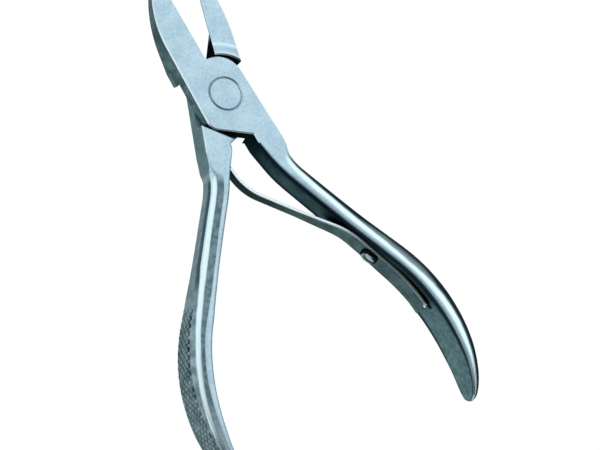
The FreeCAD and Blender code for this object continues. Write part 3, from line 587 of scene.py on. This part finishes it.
def strip_mesh():
    """The strip in metres, and where its screw, its lift off the handle and its span are."""
    places, screw, lift, span = spring_line()
    gaps = np.hypot(*np.diff(places[:, :2], axis=0).T)
    along = np.concatenate([[0], np.cumsum(gaps)])
    whole = along[-1]
    rows = np.unique(np.concatenate([along, END_ROWS, [whole - e for e in END_ROWS]]))
    x, y, lean = (np.interp(rows, along, places[:, k]) for k in range(3))
    bm = bmesh.new()
    layers = new_layers(bm, ("along", "around", "thin"))
    grid = []
    for i, run in enumerate(rows):
        narrowed = min(max((y[i] - lift[1]) / NARROWING, 0), 1)
        off_end = min(run, whole - run)
        half = (HEEL_WIDTH + (TIP_WIDTH - HEEL_WIDTH) * narrowed) / 2 - rounded_off(STRIP_END_ROUND, off_end)
        thick = (THICKNESS - rounded_off(STRIP_EDGE, off_end)) / 2
        outline = strip_outline(thick, half)
        dx, dy = math.cos(lean[i]), math.sin(lean[i])
        points = [opened((x[i] + across * dx, y[i] + across * dy, MID_DEPTH + up)) for across, up in outline]
        grid.append(add_ring(bm, layers, points, [(run, up, abs(up) / half) for _, up in outline]))
    skin(bm, grid)
    bm.faces.new(grid[0])
    bm.faces.new(grid[-1])
    bmesh.ops.recalc_face_normals(bm, faces=bm.faces)
    return mesh_from(bm, "spring_strip"), screw, lift, span


def boolean_cut(thing, cutter):
    """Cut one mesh out of another for good."""
    modifier = thing.modifiers.new("cut", "BOOLEAN")
    modifier.operation = "DIFFERENCE"
    modifier.solver = "EXACT"
    modifier.object = cutter
    bpy.context.view_layer.update()
    with_cut = bpy.data.meshes.new_from_object(thing.evaluated_get(bpy.context.evaluated_depsgraph_get()))
    thing.modifiers.remove(modifier)
    thing.data = with_cut
    bpy.data.objects.remove(cutter)


def upright_at(place):
    """Matrix that lays an upright piece over, so that its Z points off the front handle's inner
    side and its Y along the handle, at a place drawn closed."""
    x, y, lean = place
    turn = lean + HALF_OPENING
    off = Vector((-math.cos(turn), -math.sin(turn), 0))
    up = Vector((-math.sin(turn), math.cos(turn), 0))
    side = up.cross(off)
    matrix = Matrix((side, up, off)).transposed().to_4x4()
    matrix.translation = Vector(opened((x, y, MID_DEPTH)))
    return matrix


def lathe(profile, steps):
    """Closed bmesh from a half profile of (radius, height), in millimetres, about Z."""
    bm = bmesh.new()
    skin(bm, [[bm.verts.new(place) for place in around_circle(radius, height, steps if radius else 1)]
              for radius, height in profile])
    bmesh.ops.recalc_face_normals(bm, faces=bm.faces)
    return bm


def mesh_object(bm, name, matrix, sharp_degrees=30):
    bmesh.ops.transform(bm, matrix=matrix @ Matrix.Scale(MM, 4), verts=bm.verts)
    return make_object(name, mesh_from(bm, name), sharp_degrees)


SCREW_RADIUS, HOLE_PLAY = 1.2, 0.1
HEAD_RADIUS, HEAD_HEIGHT, HEAD_RIM, DOME_STEPS = 2.3, 1.3, 0.5, 12
SLOT_WIDTH, SLOT_DEPTH, THREAD_LENGTH = 0.7, 0.6, 4.2
SCREW_SEAT = SEAT_GAP + THICKNESS + SCREW_SEAT_GAP

mesh, screw_place, lift_place, span_place = strip_mesh()
strip = make_object("spring_strip", mesh, 40)
hole_radius = SCREW_RADIUS + HOLE_PLAY / 2
hole = lathe([(0, 3), (hole_radius, 3), (hole_radius, -3), (0, -3)], 40)
boolean_cut(strip, mesh_object(hole, "hole", upright_at(screw_place)))


def screw_profile():
    end, dome = -(SCREW_SEAT + THREAD_LENGTH), HEAD_HEIGHT - HEAD_RIM
    curve = (HEAD_RADIUS ** 2 + dome ** 2) / (2 * dome)
    profile = [(0, end), (SCREW_RADIUS, end), (SCREW_RADIUS, 0), (HEAD_RADIUS - 0.1, 0),
               (HEAD_RADIUS, 0.1), (HEAD_RADIUS, HEAD_RIM - 0.02)]
    top = math.asin((HEAD_RADIUS - 0.03) / curve)
    for k in range(DOME_STEPS + 1):
        turn = top * (1 - k / DOME_STEPS)
        profile.append((curve * math.sin(turn), HEAD_HEIGHT - curve * (1 - math.cos(turn))))
    return profile


screw_seat = on_inner_side(SCREW_SEAT)
screw = mesh_object(lathe(screw_profile(), 72), "pan_screw", upright_at(screw_seat), 35)
slot_box = bmesh.new()
over_slot = Matrix.Translation((0, 0, HEAD_HEIGHT - SLOT_DEPTH + 1))
bmesh.ops.create_cube(slot_box, size=1, matrix=over_slot @ Matrix.Diagonal((SLOT_WIDTH, 8, 2, 1)))
boolean_cut(screw, mesh_object(slot_box, "slot_cutter", upright_at(screw_seat)))
# The screw's material goes by the distance from its axis.
to_axis = upright_at(screw_seat).inverted()
radii = [math.hypot(*(to_axis @ vertex.co)[:2]) / MM for vertex in screw.data.vertices]
screw.data.attributes.new("radius", "FLOAT", "POINT").data.foreach_set("value", radii)
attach(screw, "front")
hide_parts("spring_screw")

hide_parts("leaf_spring")

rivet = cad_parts["pivot_rivet"]


# Materials.

def srgb(red, green, blue):
    """Linear colour from its usual 0 to 255 values."""
    parts = [v / 255 for v in (red, green, blue)]
    return tuple(p / 12.92 if p <= 0.04045 else ((p + 0.055) / 1.055) ** 2.4 for p in parts) + (1.0,)


class Nodes:
    """Short ways to add nodes to one tree."""

    def __init__(self, tree, output):
        self.tree = tree
        tree.nodes.clear()
        self.output = self.add(output)

    def add(self, kind):
        return self.tree.nodes.new(kind)

    def put(self, value, socket):
        if isinstance(value, bpy.types.NodeSocket):
            self.tree.links.new(value, socket)
        else:
            socket.default_value = value

    def math(self, operation, first, second, clamp=False):
        node = self.add("ShaderNodeMath")
        node.operation = operation
        node.use_clamp = clamp
        self.put(first, node.inputs[0])
        self.put(second, node.inputs[1])
        return node.outputs[0]

    def times(self, *values):
        return reduce(lambda first, second: self.math("MULTIPLY", first, second), values)

    def plus(self, first, second):
        return self.math("ADD", first, second)

    def most(self, *values):
        return reduce(lambda first, second: self.math("MAXIMUM", first, second), values)

    def ramp(self, value, low, high, to_low=0.0, to_high=1.0, kind="SMOOTHSTEP"):
        node = self.add("ShaderNodeMapRange")
        node.interpolation_type = kind
        names = ("Value", "From Min", "From Max", "To Min", "To Max")
        for given, name in zip((value, low, high, to_low, to_high), names):
            self.put(given, node.inputs[name])
        return node.outputs["Result"]

    def mix(self, share, first, second):
        node = self.add("ShaderNodeMix")
        node.data_type = "RGBA"
        node.clamp_factor = True
        self.put(share, node.inputs["Factor"])
        self.put(first, node.inputs[6])
        self.put(second, node.inputs[7])
        return node.outputs[2]

    def vector(self, operation, first, second=None):
        node = self.add("ShaderNodeVectorMath")
        node.operation = operation
        self.put(first, node.inputs[0])
        if second is not None:
            self.put(second, node.inputs[1])
        return node.outputs

    def attribute(self, name):
        node = self.add("ShaderNodeAttribute")
        node.attribute_name = name
        return node.outputs["Fac"]

    def place(self):
        """Where a point of the surface is, in metres."""
        return self.add("ShaderNodeTexCoord").outputs["Object"]

    def stretched(self, along, share, around):
        """Place on a surface for noise that is drawn out along it."""
        node = self.add("ShaderNodeCombineXYZ")
        self.put(self.times(along, share), node.inputs[0])
        self.put(around, node.inputs[1])
        return node.outputs[0]

    def off_axis(self, place, unevenness):
        """Distance from the rivet's axis, in millimetres, made slightly uneven."""
        flattened = self.vector("MULTIPLY", place, (1 / MM, 1 / MM, 0))["Vector"]
        distance = self.vector("LENGTH", flattened)["Value"]
        return self.plus(distance, self.times(self.noise(place, 400, 2), unevenness))

    def noise(self, vector, scale, detail=3.0, roughness=0.55):
        node = self.add("ShaderNodeTexNoise")
        values = (("Vector", vector), ("Scale", scale), ("Detail", detail), ("Roughness", roughness))
        for name, value in values:
            self.put(value, node.inputs[name])
        return node.outputs["Fac"]

    def mottled(self, place, scale, detail, roughness, low, high, first, second):
        """Patches of two colours."""
        return self.mix(self.ramp(self.noise(place, scale, detail, roughness), low, high), first, second)

    def surface(self, **values):
        """Gives the shader its values, by the names of its sockets."""
        for name, value in values.items():
            self.put(value, self.shader.inputs[name.replace("_", " ")])
        return self.material

    def bump(self, height, strength, distance):
        node = self.add("ShaderNodeBump")
        for name, value in (("Height", height), ("Strength", strength), ("Distance", distance)):
            self.put(value, node.inputs[name])
        return node.outputs["Normal"]


def new_material(name, metallic=1.0):
    """Nodes of a new material with a Principled shader."""
    material = bpy.data.materials.new(name)
    material.use_nodes = True
    n = Nodes(material.node_tree, "ShaderNodeOutputMaterial")
    n.material = material
    n.shader = n.add("ShaderNodeBsdfPrincipled")
    n.put(n.shader.outputs["BSDF"], n.output.inputs["Surface"])
    n.surface(Metallic=metallic)
    return n


# Colours of bare steel: blasted; the painted highlight of the polished band; the worn edges,
# whose brightness is also a painted highlight; and painted shade round the rivet.
SATIN, SATIN_COOL = srgb(184, 214, 228), srgb(166, 199, 215)
SATIN_WARM, SATIN_PIT = srgb(196, 212, 226), srgb(148, 182, 198)
POLISHED_HIGHLIGHT = {"front": srgb(208, 236, 244), "rear": srgb(224, 248, 253)}
WORN_HIGHLIGHT, RIVET_GAP_SHADE = srgb(218, 239, 248), srgb(104, 128, 146)
# Colours of forged skin, and of the painted light, painted shade and painted dark reflections
# on it.
FORGED, FORGED_DARK = srgb(98, 130, 134), srgb(62, 88, 92)
FORGED_SPECK, FORGED_PIT = srgb(142, 172, 180), srgb(48, 70, 72)
# The lighter forged colour is painted light; the deeper one is forged skin in painted shade.
FORGED_LIT, FORGED_IN_SHADE = srgb(122, 152, 156), srgb(28, 46, 50)
# Painted dark reflections, in teal and in navy.
TEAL_REFLECTION, NAVY_REFLECTION = srgb(62, 88, 98), srgb(30, 50, 62)
# Painted shade: at the neck, and black.
NECK_SHADE, SHADE_BLACK = srgb(26, 40, 44), srgb(10, 18, 20)


def satin_colour(n, place):
    """Bead-blasted steel, mottled in soft patches and fine grains."""
    fine = n.noise(place, 1500, 3, 0.65)
    colour = n.mottled(place, 170, 4, 0.6, 0.36, 0.64, SATIN_COOL, SATIN)
    colour = n.mix(n.times(n.ramp(fine, 0.46, 0.66), 0.55), colour, SATIN_WARM)
    return n.mix(n.times(n.ramp(fine, 0.48, 0.34), 0.45), colour, SATIN_PIT)


def forged_colour(n, place):
    """Dull forged skin, darker in patches, with small light specks."""
    specks = n.noise(place, 1900, 2, 0.5)
    colour = n.mottled(place, 230, 5, 0.65, 0.35, 0.68, FORGED_DARK, FORGED)
    colour = n.mix(n.times(n.ramp(specks, 0.58, 0.72), 0.3), colour, FORGED_SPECK)
    return n.mix(n.times(n.ramp(specks, 0.44, 0.3), 0.5), colour, FORGED_PIT)


def rear_outside(n, place, at, started, satin, forged):
    """Colours of the rear handle: a painted dark reflection inwards of its polished band, and the
    skin outwards of it.
    """
    # The dark band inwards of the polished band is a painted dark reflection, not forged skin.
    edge = n.ramp(at.along, 34, 46, -8.5, -5.0)
    dark_band_start = n.ramp(at.level, n.math("SUBTRACT", edge, 2.5), edge)
    before = n.times(at.handle, started, n.ramp(at.past_low, 0, -7), dark_band_start,
                     n.ramp(at.along, 76, 60))
    skin = n.mottled(place, 600, 4, 0.6, 0.36, 0.62, srgb(84, 112, 122), srgb(120, 144, 152))
    plain = n.mottled(place, 500, 3, 0.55, 0.35, 0.65, srgb(118, 148, 156), srgb(168, 190, 197))
    even = n.mix(0.5, srgb(140, 164, 172), plain)
    plain = n.mix(n.ramp(at.along, 34, 44), even, plain)
    # Painted dark reflection in teal beside the band, near the joint.
    near = n.times(n.ramp(at.past_high, 40, 20), n.ramp(at.along, 39, 33))
    outside = n.mix(near, plain, TEAL_REFLECTION)
    outside = n.mix(n.ramp(at.fold, 58, 70, 0.1, 0.4), outside, forged)
    return n.mix(before, satin, skin), outside


def front_outside(n, at, forged):
    """Colour of the front handle outwards of its polished band: grey, then a painted dark
    reflection, turning to forged skin further round.
    """
    grey_run = n.times(n.ramp(at.along, 28, 37), n.ramp(at.along, 56, 48))
    dark_from = n.plus(16.0, n.times(22.0, grey_run))
    # Grey, then painted dark reflection further from the band.
    outside = n.mix(n.ramp(at.past_high, 4, dark_from), srgb(140, 164, 170), srgb(30, 42, 50))
    return n.mix(n.ramp(at.fold, 62, 82), outside, forged)


def front_inside(n, place, at, forged):
    """Colour of the front handle's inner side: forged skin with painted shade, blackest near the
    joint and beside the spring strip, and a painted dark reflection along the front corner."""
    along = at.along
    patchy = n.mottled(place, 700, 4, 0.65, 0.36, 0.64, srgb(84, 114, 118), srgb(120, 150, 156))
    # Painted shade: the skin is darker towards the joint and darkest at the neck.
    depth = n.mix(n.ramp(along, 0, 62), n.mix(0.38, FORGED_IN_SHADE, forged), n.mix(0.6, forged, patchy))
    depth = n.mix(n.ramp(along, 6, -1), depth, NECK_SHADE)
    # Painted dark reflection in navy along the front inner corner.
    corner_low, corner_high = n.ramp(along, 55, 80, -46, -34), n.ramp(along, 55, 80, -34, -29)
    corner = n.times(n.ramp(at.level, corner_low, corner_high), n.ramp(along, 92, 66, 0.35, 1.0))
    depth = n.mix(corner, depth, NAVY_REFLECTION)
    # Painted shade beside the spring strip.
    return n.mix(at.shade, depth, SHADE_BLACK)


def pivot_rings(n, place, at, lever, faces, colour):
    """Rings round the pivot on the flat faces: painted shade beside the rivet, and on the rear jaw
    painted highlights with a ring of painted shade between them.
    """
    distance = n.off_axis(place, 0.3)
    # Painted shade: a darker ring beside the rivet's gap.
    colour = n.mix(n.times(faces, n.ramp(distance, 4.8, 4.52), 0.6), colour, RIVET_GAP_SHADE)
    if lever == "rear":
        jaw = n.times(faces, n.ramp(at.along, -19, -21))
        dim = n.times(jaw, n.ramp(distance, 11.2, 11.6), n.ramp(distance, 12.5, 12.1), 0.3)
        bright = n.times(jaw, n.ramp(distance, 12.5, 12.9), n.ramp(distance, 13.6, 13.1), 0.75)
        # Painted shade in the dim ring, painted highlights inside it and in the bright ring.
        colour = n.mix(dim, colour, srgb(148, 182, 200))
        colour = n.mix(n.times(jaw, n.ramp(distance, 11.2, 10.8), 0.7), colour, srgb(206, 234, 246))
        colour = n.mix(bright, colour, srgb(214, 242, 252))
    return colour


# Where painted shadow blackens the side walls of the joint, in closed coordinates: across from
# and to, along from and to, and how softly it ends.
JOINT_SHADOWS = {
    "front": ((-4.0, 3.6, -13.9, -7.5, 1.2),),
    "rear": ((-1.6, 1.5, 9.0, 13.6, 1.4), (4.2, 6.5, -6.6, -1.6, 0.5)),
}


def joint_shadow(n, at, joint_wall, low_x, high_x, low_y, high_y, soft):
    """How much one place of painted shadow darkens the joint's wall."""
    low_along, high_along = CUT_HEIGHT - high_y, CUT_HEIGHT - low_y
    return n.times(
        joint_wall,
        n.times(n.ramp(at.around, low_x - soft, low_x), n.ramp(at.around, high_x + soft, high_x)),
        n.times(n.ramp(at.along, low_along - soft, low_along),
                n.ramp(at.along, high_along + soft, high_along)),
        0.96)


def lever_material(name, lever):
    n = new_material(name)
    place = n.place()
    at = SimpleNamespace(**{key: n.attribute(key) for key in TRAITS + FACE_TRAITS})
    handle, fold, along, wall = at.handle, at.fold, at.along, at.side_wall
    uneven = n.times(n.math("SUBTRACT", n.noise(place, 260, 3), 0.5), 6.0)
    at.past_low, at.past_high = n.plus(at.past_low, uneven), n.plus(at.past_high, uneven)
    satin, forged = satin_colour(n, place), forged_colour(n, place)
    started = n.ramp(along, 4.5, 8.5)
    # The polished band, with fine scratches along it: real polish, with a painted highlight colour.
    scratches = n.noise(n.stretched(along, 0.06, at.around), 6.0, 4, 0.7)
    polished = n.mix(n.times(n.ramp(scratches, 0.45, 0.75), 0.3), POLISHED_HIGHLIGHT[lever], SATIN)
    band = n.times(handle, started, n.ramp(at.past_low, -7, 3), n.ramp(at.past_high, 5, -3),
                   n.ramp(along, HANDLE_LENGTH - 0.4, HANDLE_LENGTH - 3.2))
    # Beyond the band and on the inner side the forged skin was left; next to the band it is painted
    # with dark reflection, and on the front lever's inner side with shade.
    beyond = n.times(handle, started, n.ramp(at.past_high, -1, 7))
    inside = n.times(handle, n.ramp(fold, -20, -50))
    if lever == "rear":
        colour, outside = rear_outside(n, place, at, started, satin, forged)
        # Painted light: on the rear lever the forged skin of the inner side, the joint's walls and the neck's
        # sides is painted lighter.
        forged = n.mix(0.4, forged, FORGED_LIT)
        depth, black = forged, 0.0
    else:
        colour, outside = satin, front_outside(n, at, forged)
        depth = front_inside(n, place, at, forged)
        # Painted shade: near the joint the front's inner side also shines less at its edges.
        black = n.times(inside, n.ramp(along, 10, 0, 0.4, 0.9))
    # Painted highlight: the polished band's colour.
    colour = n.mix(band, colour, polished)
    colour = n.mix(beyond, colour, outside)
    colour = n.mix(inside, colour, depth)
    # The sides of the joint and the neck are forged skin too.
    joint = n.math("SUBTRACT", 1.0, handle)
    joint_wall = n.times(wall, joint)
    neck_side = n.times(handle, n.ramp(along, 9, 4), n.ramp(fold, 60, 84))
    skin_side = n.most(joint_wall, neck_side)
    colour = n.mix(skin_side, colour, forged)
    # Painted shadow: black in the joint, and the neck's painted shade towards the neck.
    for place_in_joint in JOINT_SHADOWS[lever]:
        shadow = joint_shadow(n, at, joint_wall, *place_in_joint)
        colour = n.mix(shadow, colour, n.mix(n.ramp(along, -6, -1), SHADE_BLACK, NECK_SHADE))
        black = n.most(black, shadow)
    faces = n.times(joint, n.math("SUBTRACT", 1.0, wall))
    colour = pivot_rings(n, place, at, lever, faces, colour)
    # The cut grip: painted highlights on the tops, and painted shade in the grooves.
    top_highlights = n.times(n.ramp(at.cut, 0.25, 0.0), at.grip,
                   n.ramp(n.noise(place, 500, 3), 0.4, 0.62, 0.05, 0.8),
                   n.ramp(along, 54, 64, 0.6, 1.0))
    colour = n.mix(top_highlights, colour, srgb(190, 216, 220))
    grooves = n.times(n.ramp(at.cut, 0.3, 0.95), n.ramp(fold, 74, 88, 0.95, 0.62),
                      n.ramp(along, 57, 66, 1.0, 0.75),
                      n.ramp(n.noise(place, 330, 3), 0.34, 0.56, 0.5, 1.0))
    # Painted shade in the grooves.
    groove_colour = n.mix(n.ramp(fold, 70, 86), srgb(18, 28, 32), srgb(38, 58, 62))
    colour = n.mix(grooves, colour, groove_colour)
    black = n.most(black, grooves)
    # Bevel edges are painted bright: partly wear, partly a painted highlight along them.
    wear_and_highlight = n.times(at.bevel, n.ramp(n.noise(place, 500, 3), 0.3, 0.5, 0.8, 1.0))
    colour = n.mix(wear_and_highlight, colour, WORN_HIGHLIGHT)
    # Painted shade: ambient occlusion paints the crevices of the side walls and the handle black.
    open_air = n.add("ShaderNodeAmbientOcclusion")
    open_air.samples = 8
    open_air.inputs["Distance"].default_value = 0.0032
    crevice_shade = n.times(n.ramp(open_air.outputs["AO"], 0.72, 0.3), n.most(wall, handle), 0.96)
    # Dull skin shines less at its edges than bare steel does, and the places of painted shade less
    # still.
    dull = n.most(inside, beyond, skin_side)
    edge_shine = n.mix(dull, (1, 1, 1, 1), (0.58, 0.6, 0.6, 1))
    edge_shine = n.mix(n.most(black, crevice_shade), edge_shine, (0.15, 0.15, 0.15, 1))
    rough = n.plus(0.37, n.times(n.noise(place, 700, 3), 0.08))
    rough = n.math("SUBTRACT", rough, n.times(band, 0.15))
    rough = n.math("ADD", rough, n.times(dull, 0.18), clamp=True)
    blasted, skin_height = n.noise(place, 4200, 2, 0.6), n.noise(place, 1500, 4, 0.65)
    height = n.plus(n.times(blasted, 0.25), n.times(skin_height, dull))
    height = n.plus(height, n.times(scratches, band, 0.12))
    return n.surface(Base_Color=n.mix(crevice_shade, colour, SHADE_BLACK), Specular_Tint=edge_shine, Roughness=rough,
                     Normal=n.bump(height, 0.35, 0.00006))


def spring_material():
    """Dull rolled strip, with painted shade darkest at its curl, painted highlights along its edges,
    and a painted highlight on a worn heel corner.
    """
    n = new_material("spring_steel_dull")
    place = n.place()
    along, around, thin = n.attribute("along"), n.attribute("around"), n.attribute("thin")
    rolled = n.noise(n.stretched(along, 0.05, around), 5.0, 4, 0.7)
    patches = n.noise(place, 300, 4, 0.6)
    colour = n.mix(n.ramp(patches, 0.35, 0.65), srgb(50, 74, 77), srgb(78, 104, 106))
    colour = n.mix(n.times(n.ramp(rolled, 0.45, 0.7), 0.35), colour, srgb(102, 126, 124))
    # Painted shade, darkening towards the curl.
    colour = n.mix(n.ramp(along, 32, 52, 0.0, 0.85), colour, srgb(14, 24, 28))
    # Painted highlight along the strip's edges, brighter further along.
    edge = n.mix(n.ramp(along, 16, 32), srgb(152, 172, 174), srgb(224, 241, 249))
    colour = n.mix(n.ramp(thin, 0.91, 0.97), colour, edge)
    # Painted highlight, in the worn colour, on one heel corner.
    colour = n.mix(n.times(n.ramp(along, 1.0, 0.4), n.ramp(around, 1.7, 2.3)), colour, WORN_HIGHLIGHT)
    height = n.plus(n.times(rolled, 0.5), n.times(n.noise(place, 3000, 2), 0.4))
    return n.surface(Base_Color=colour, Specular_Tint=(0.6, 0.62, 0.62, 1),
                     Roughness=n.plus(0.34, n.times(patches, 0.14)), Normal=n.bump(height, 0.25, 0.00005))


def rivet_material():
    """Satin steel with a darker rim, which is painted shade beside the ring gap round the head."""
    n = new_material("rivet_steel_satin")
    place = n.place()
    # Painted shade on the rim.
    rim = n.times(n.ramp(n.off_axis(place, 0.12), 3.78, 4.0), 0.7)
    return n.surface(Base_Color=n.mix(rim, satin_colour(n, place), srgb(92, 116, 134)),
                     Roughness=n.plus(0.36, n.times(n.noise(place, 700, 3), 0.1)),
                     Normal=n.bump(n.noise(place, 4200, 2, 0.6), 0.2, 0.00004))


def screw_material():
    """Polished steel, stained, with a black rim that is a painted dark reflection."""
    n = new_material("screw_steel_polished")
    place = n.place()
    stain = n.noise(place, 900, 4, 0.6)
    radius = n.plus(n.attribute("radius"), n.times(n.math("SUBTRACT", stain, 0.5), 0.8))
    colour = n.mix(n.ramp(stain, 0.4, 0.7), srgb(150, 174, 182), srgb(92, 114, 122))
    # Painted dark reflection: the outer part of the head is painted black.
    colour = n.mix(n.ramp(radius, 1.5, 1.9), colour, srgb(16, 24, 28))
    return n.surface(Base_Color=colour, Specular_Tint=(0.4, 0.4, 0.4, 1),
                     Roughness=n.plus(0.1, n.times(stain, 0.14)),
                     Normal=n.bump(n.noise(place, 5200, 2, 0.5), 0.12, 0.00003))


def dress(thing, material):
    thing.data.materials.clear()
    thing.data.materials.append(material)


for lever in SIDES:
    dress(levers[lever], lever_material(f"{lever}_lever_steel_looks", lever))
dress(strip, spring_material())
dress(screw, screw_material())
dress(rivet, rivet_material())
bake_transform(strip)


# Floor, light and camera.

FLOOR_RADIUS, FLOOR_CORNERS, FLOOR_GAP = 6.0, 96, 0.0002


def stage_floor():
    """Round pale floor that the camera, reflections and glass see as white."""
    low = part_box("front_lever")[0].z - FLOOR_GAP
    bm = bmesh.new()
    bm.faces.new([bm.verts.new(place) for place in around_circle(FLOOR_RADIUS, low, FLOOR_CORNERS)])
    floor = new_object("floor", mesh_from(bm, "floor"))
    n = new_material("floor_white", metallic=0.0)
    paper = n.ramp(n.noise(n.place(), 30, 3), 0.3, 0.7)
    n.surface(Base_Color=n.mix(paper, (0.93, 0.93, 0.93, 1), (0.95, 0.95, 0.95, 1)), Roughness=0.9,
              Specular_IOR_Level=0.0)
    glow = n.add("ShaderNodeEmission")
    glow.inputs["Strength"].default_value = 1.06
    seen = n.add("ShaderNodeLightPath").outputs
    direct = n.most(seen["Is Camera Ray"], seen["Is Glossy Ray"], seen["Is Transmission Ray"])
    blend = n.add("ShaderNodeMixShader")
    n.put(n.times(direct, 0.92), blend.inputs[0])
    n.put(n.shader.outputs["BSDF"], blend.inputs[1])
    n.put(glow.outputs[0], blend.inputs[2])
    n.put(blend.outputs[0], n.output.inputs["Surface"])
    dress(floor, n.material)


def studio_world():
    """Soft light from all round, brightest low down, and dark on one side, which gives the
    metal its deep tones."""
    world = bpy.data.worlds.new("studio")
    bpy.context.scene.world = world
    world.use_nodes = True
    n = Nodes(world.node_tree, "ShaderNodeOutputWorld")
    background = n.add("ShaderNodeBackground")
    place = n.add("ShaderNodeTexCoord").outputs["Generated"]
    split = n.add("ShaderNodeSeparateXYZ")
    n.put(place, split.inputs[0])
    bands = n.add("ShaderNodeValToRGB")
    n.put(split.outputs["Z"], bands.inputs[0])
    stops = ((0.0, 1.0), (0.06, 0.95), (0.22, 0.66), (0.6, 0.53), (1.0, 0.48))
    ramp_stops = bands.color_ramp.elements
    while len(ramp_stops) < len(stops):
        ramp_stops.new(0.5)
    for stop, (at, grey) in zip(ramp_stops, stops):
        stop.position = at
        stop.color = (grey, grey, grey, 1)
    fade = n.ramp(n.vector("DOT_PRODUCT", place, tuple(towards(-122, 30)))["Value"], 0.6, 0.88)
    above = n.ramp(split.outputs["Z"], 0.04, 0.12, kind="LINEAR")
    darkened = n.mix(n.times(fade, above), bands.outputs[0], (0.03, 0.035, 0.035, 1))
    n.put(darkened, background.inputs["Color"])
    n.put(background.outputs[0], n.output.inputs["Surface"])


# The point that the camera and the lights are turned to.
TARGET = Vector((6.630, -35.378, 3.4)) * MM
LIGHT_DISTANCE = 1.0


def towards(azimuth, elevation):
    a, e = math.radians(azimuth), math.radians(elevation)
    return Vector((math.cos(e) * math.cos(a), math.cos(e) * math.sin(a), math.sin(e)))


def softbox(name, azimuth, elevation, wide, high, level):
    """Rectangular light that spans wide by high degrees, level being its radiance."""
    light = bpy.data.lights.new(name, "AREA")
    light.shape = "RECTANGLE"
    light.size = 2 * LIGHT_DISTANCE * math.tan(math.radians(wide / 2))
    light.size_y = 2 * LIGHT_DISTANCE * math.tan(math.radians(high / 2))
    light.energy = level * math.pi * light.size * light.size_y
    thing = new_object(name, light)
    direction = towards(azimuth, elevation)
    thing.location = TARGET + direction * LIGHT_DISTANCE
    thing.rotation_euler = direction.to_track_quat("Z", "Y").to_euler()
    thing.visible_camera = False


# The camera's place and lens.
CAMERA_AWAY, CAMERA_RIGHT = (-0.47936, -0.16820, 0.86135), (0.83682, -0.38336, 0.39085)
CAMERA_DISTANCE, CAMERA_LENS = 0.56624, 141.93


def photo_camera():
    away, right = Vector(CAMERA_AWAY).normalized(), Vector(CAMERA_RIGHT)
    right = (right - away * right.dot(away)).normalized()
    data = bpy.data.cameras.new("photo_view")
    data.sensor_width = 36
    data.lens = CAMERA_LENS
    data.clip_start, data.clip_end = 0.02, 40
    camera = new_object("photo_view", data)
    matrix = Matrix((right, away.cross(right), away)).transposed().to_4x4()
    matrix.translation = TARGET + away * CAMERA_DISTANCE
    camera.matrix_world = matrix
    bpy.context.scene.camera = camera


stage_floor()
studio_world()
softbox("key_box", 20, 50, 50, 34, 0.9)
softbox("band_box", 112, 48, 56, 60, 0.5)
softbox("rim_box", 172, 30, 24, 20, 1.3)
photo_camera()
bpy.context.scene.view_settings.view_transform = "Standard"
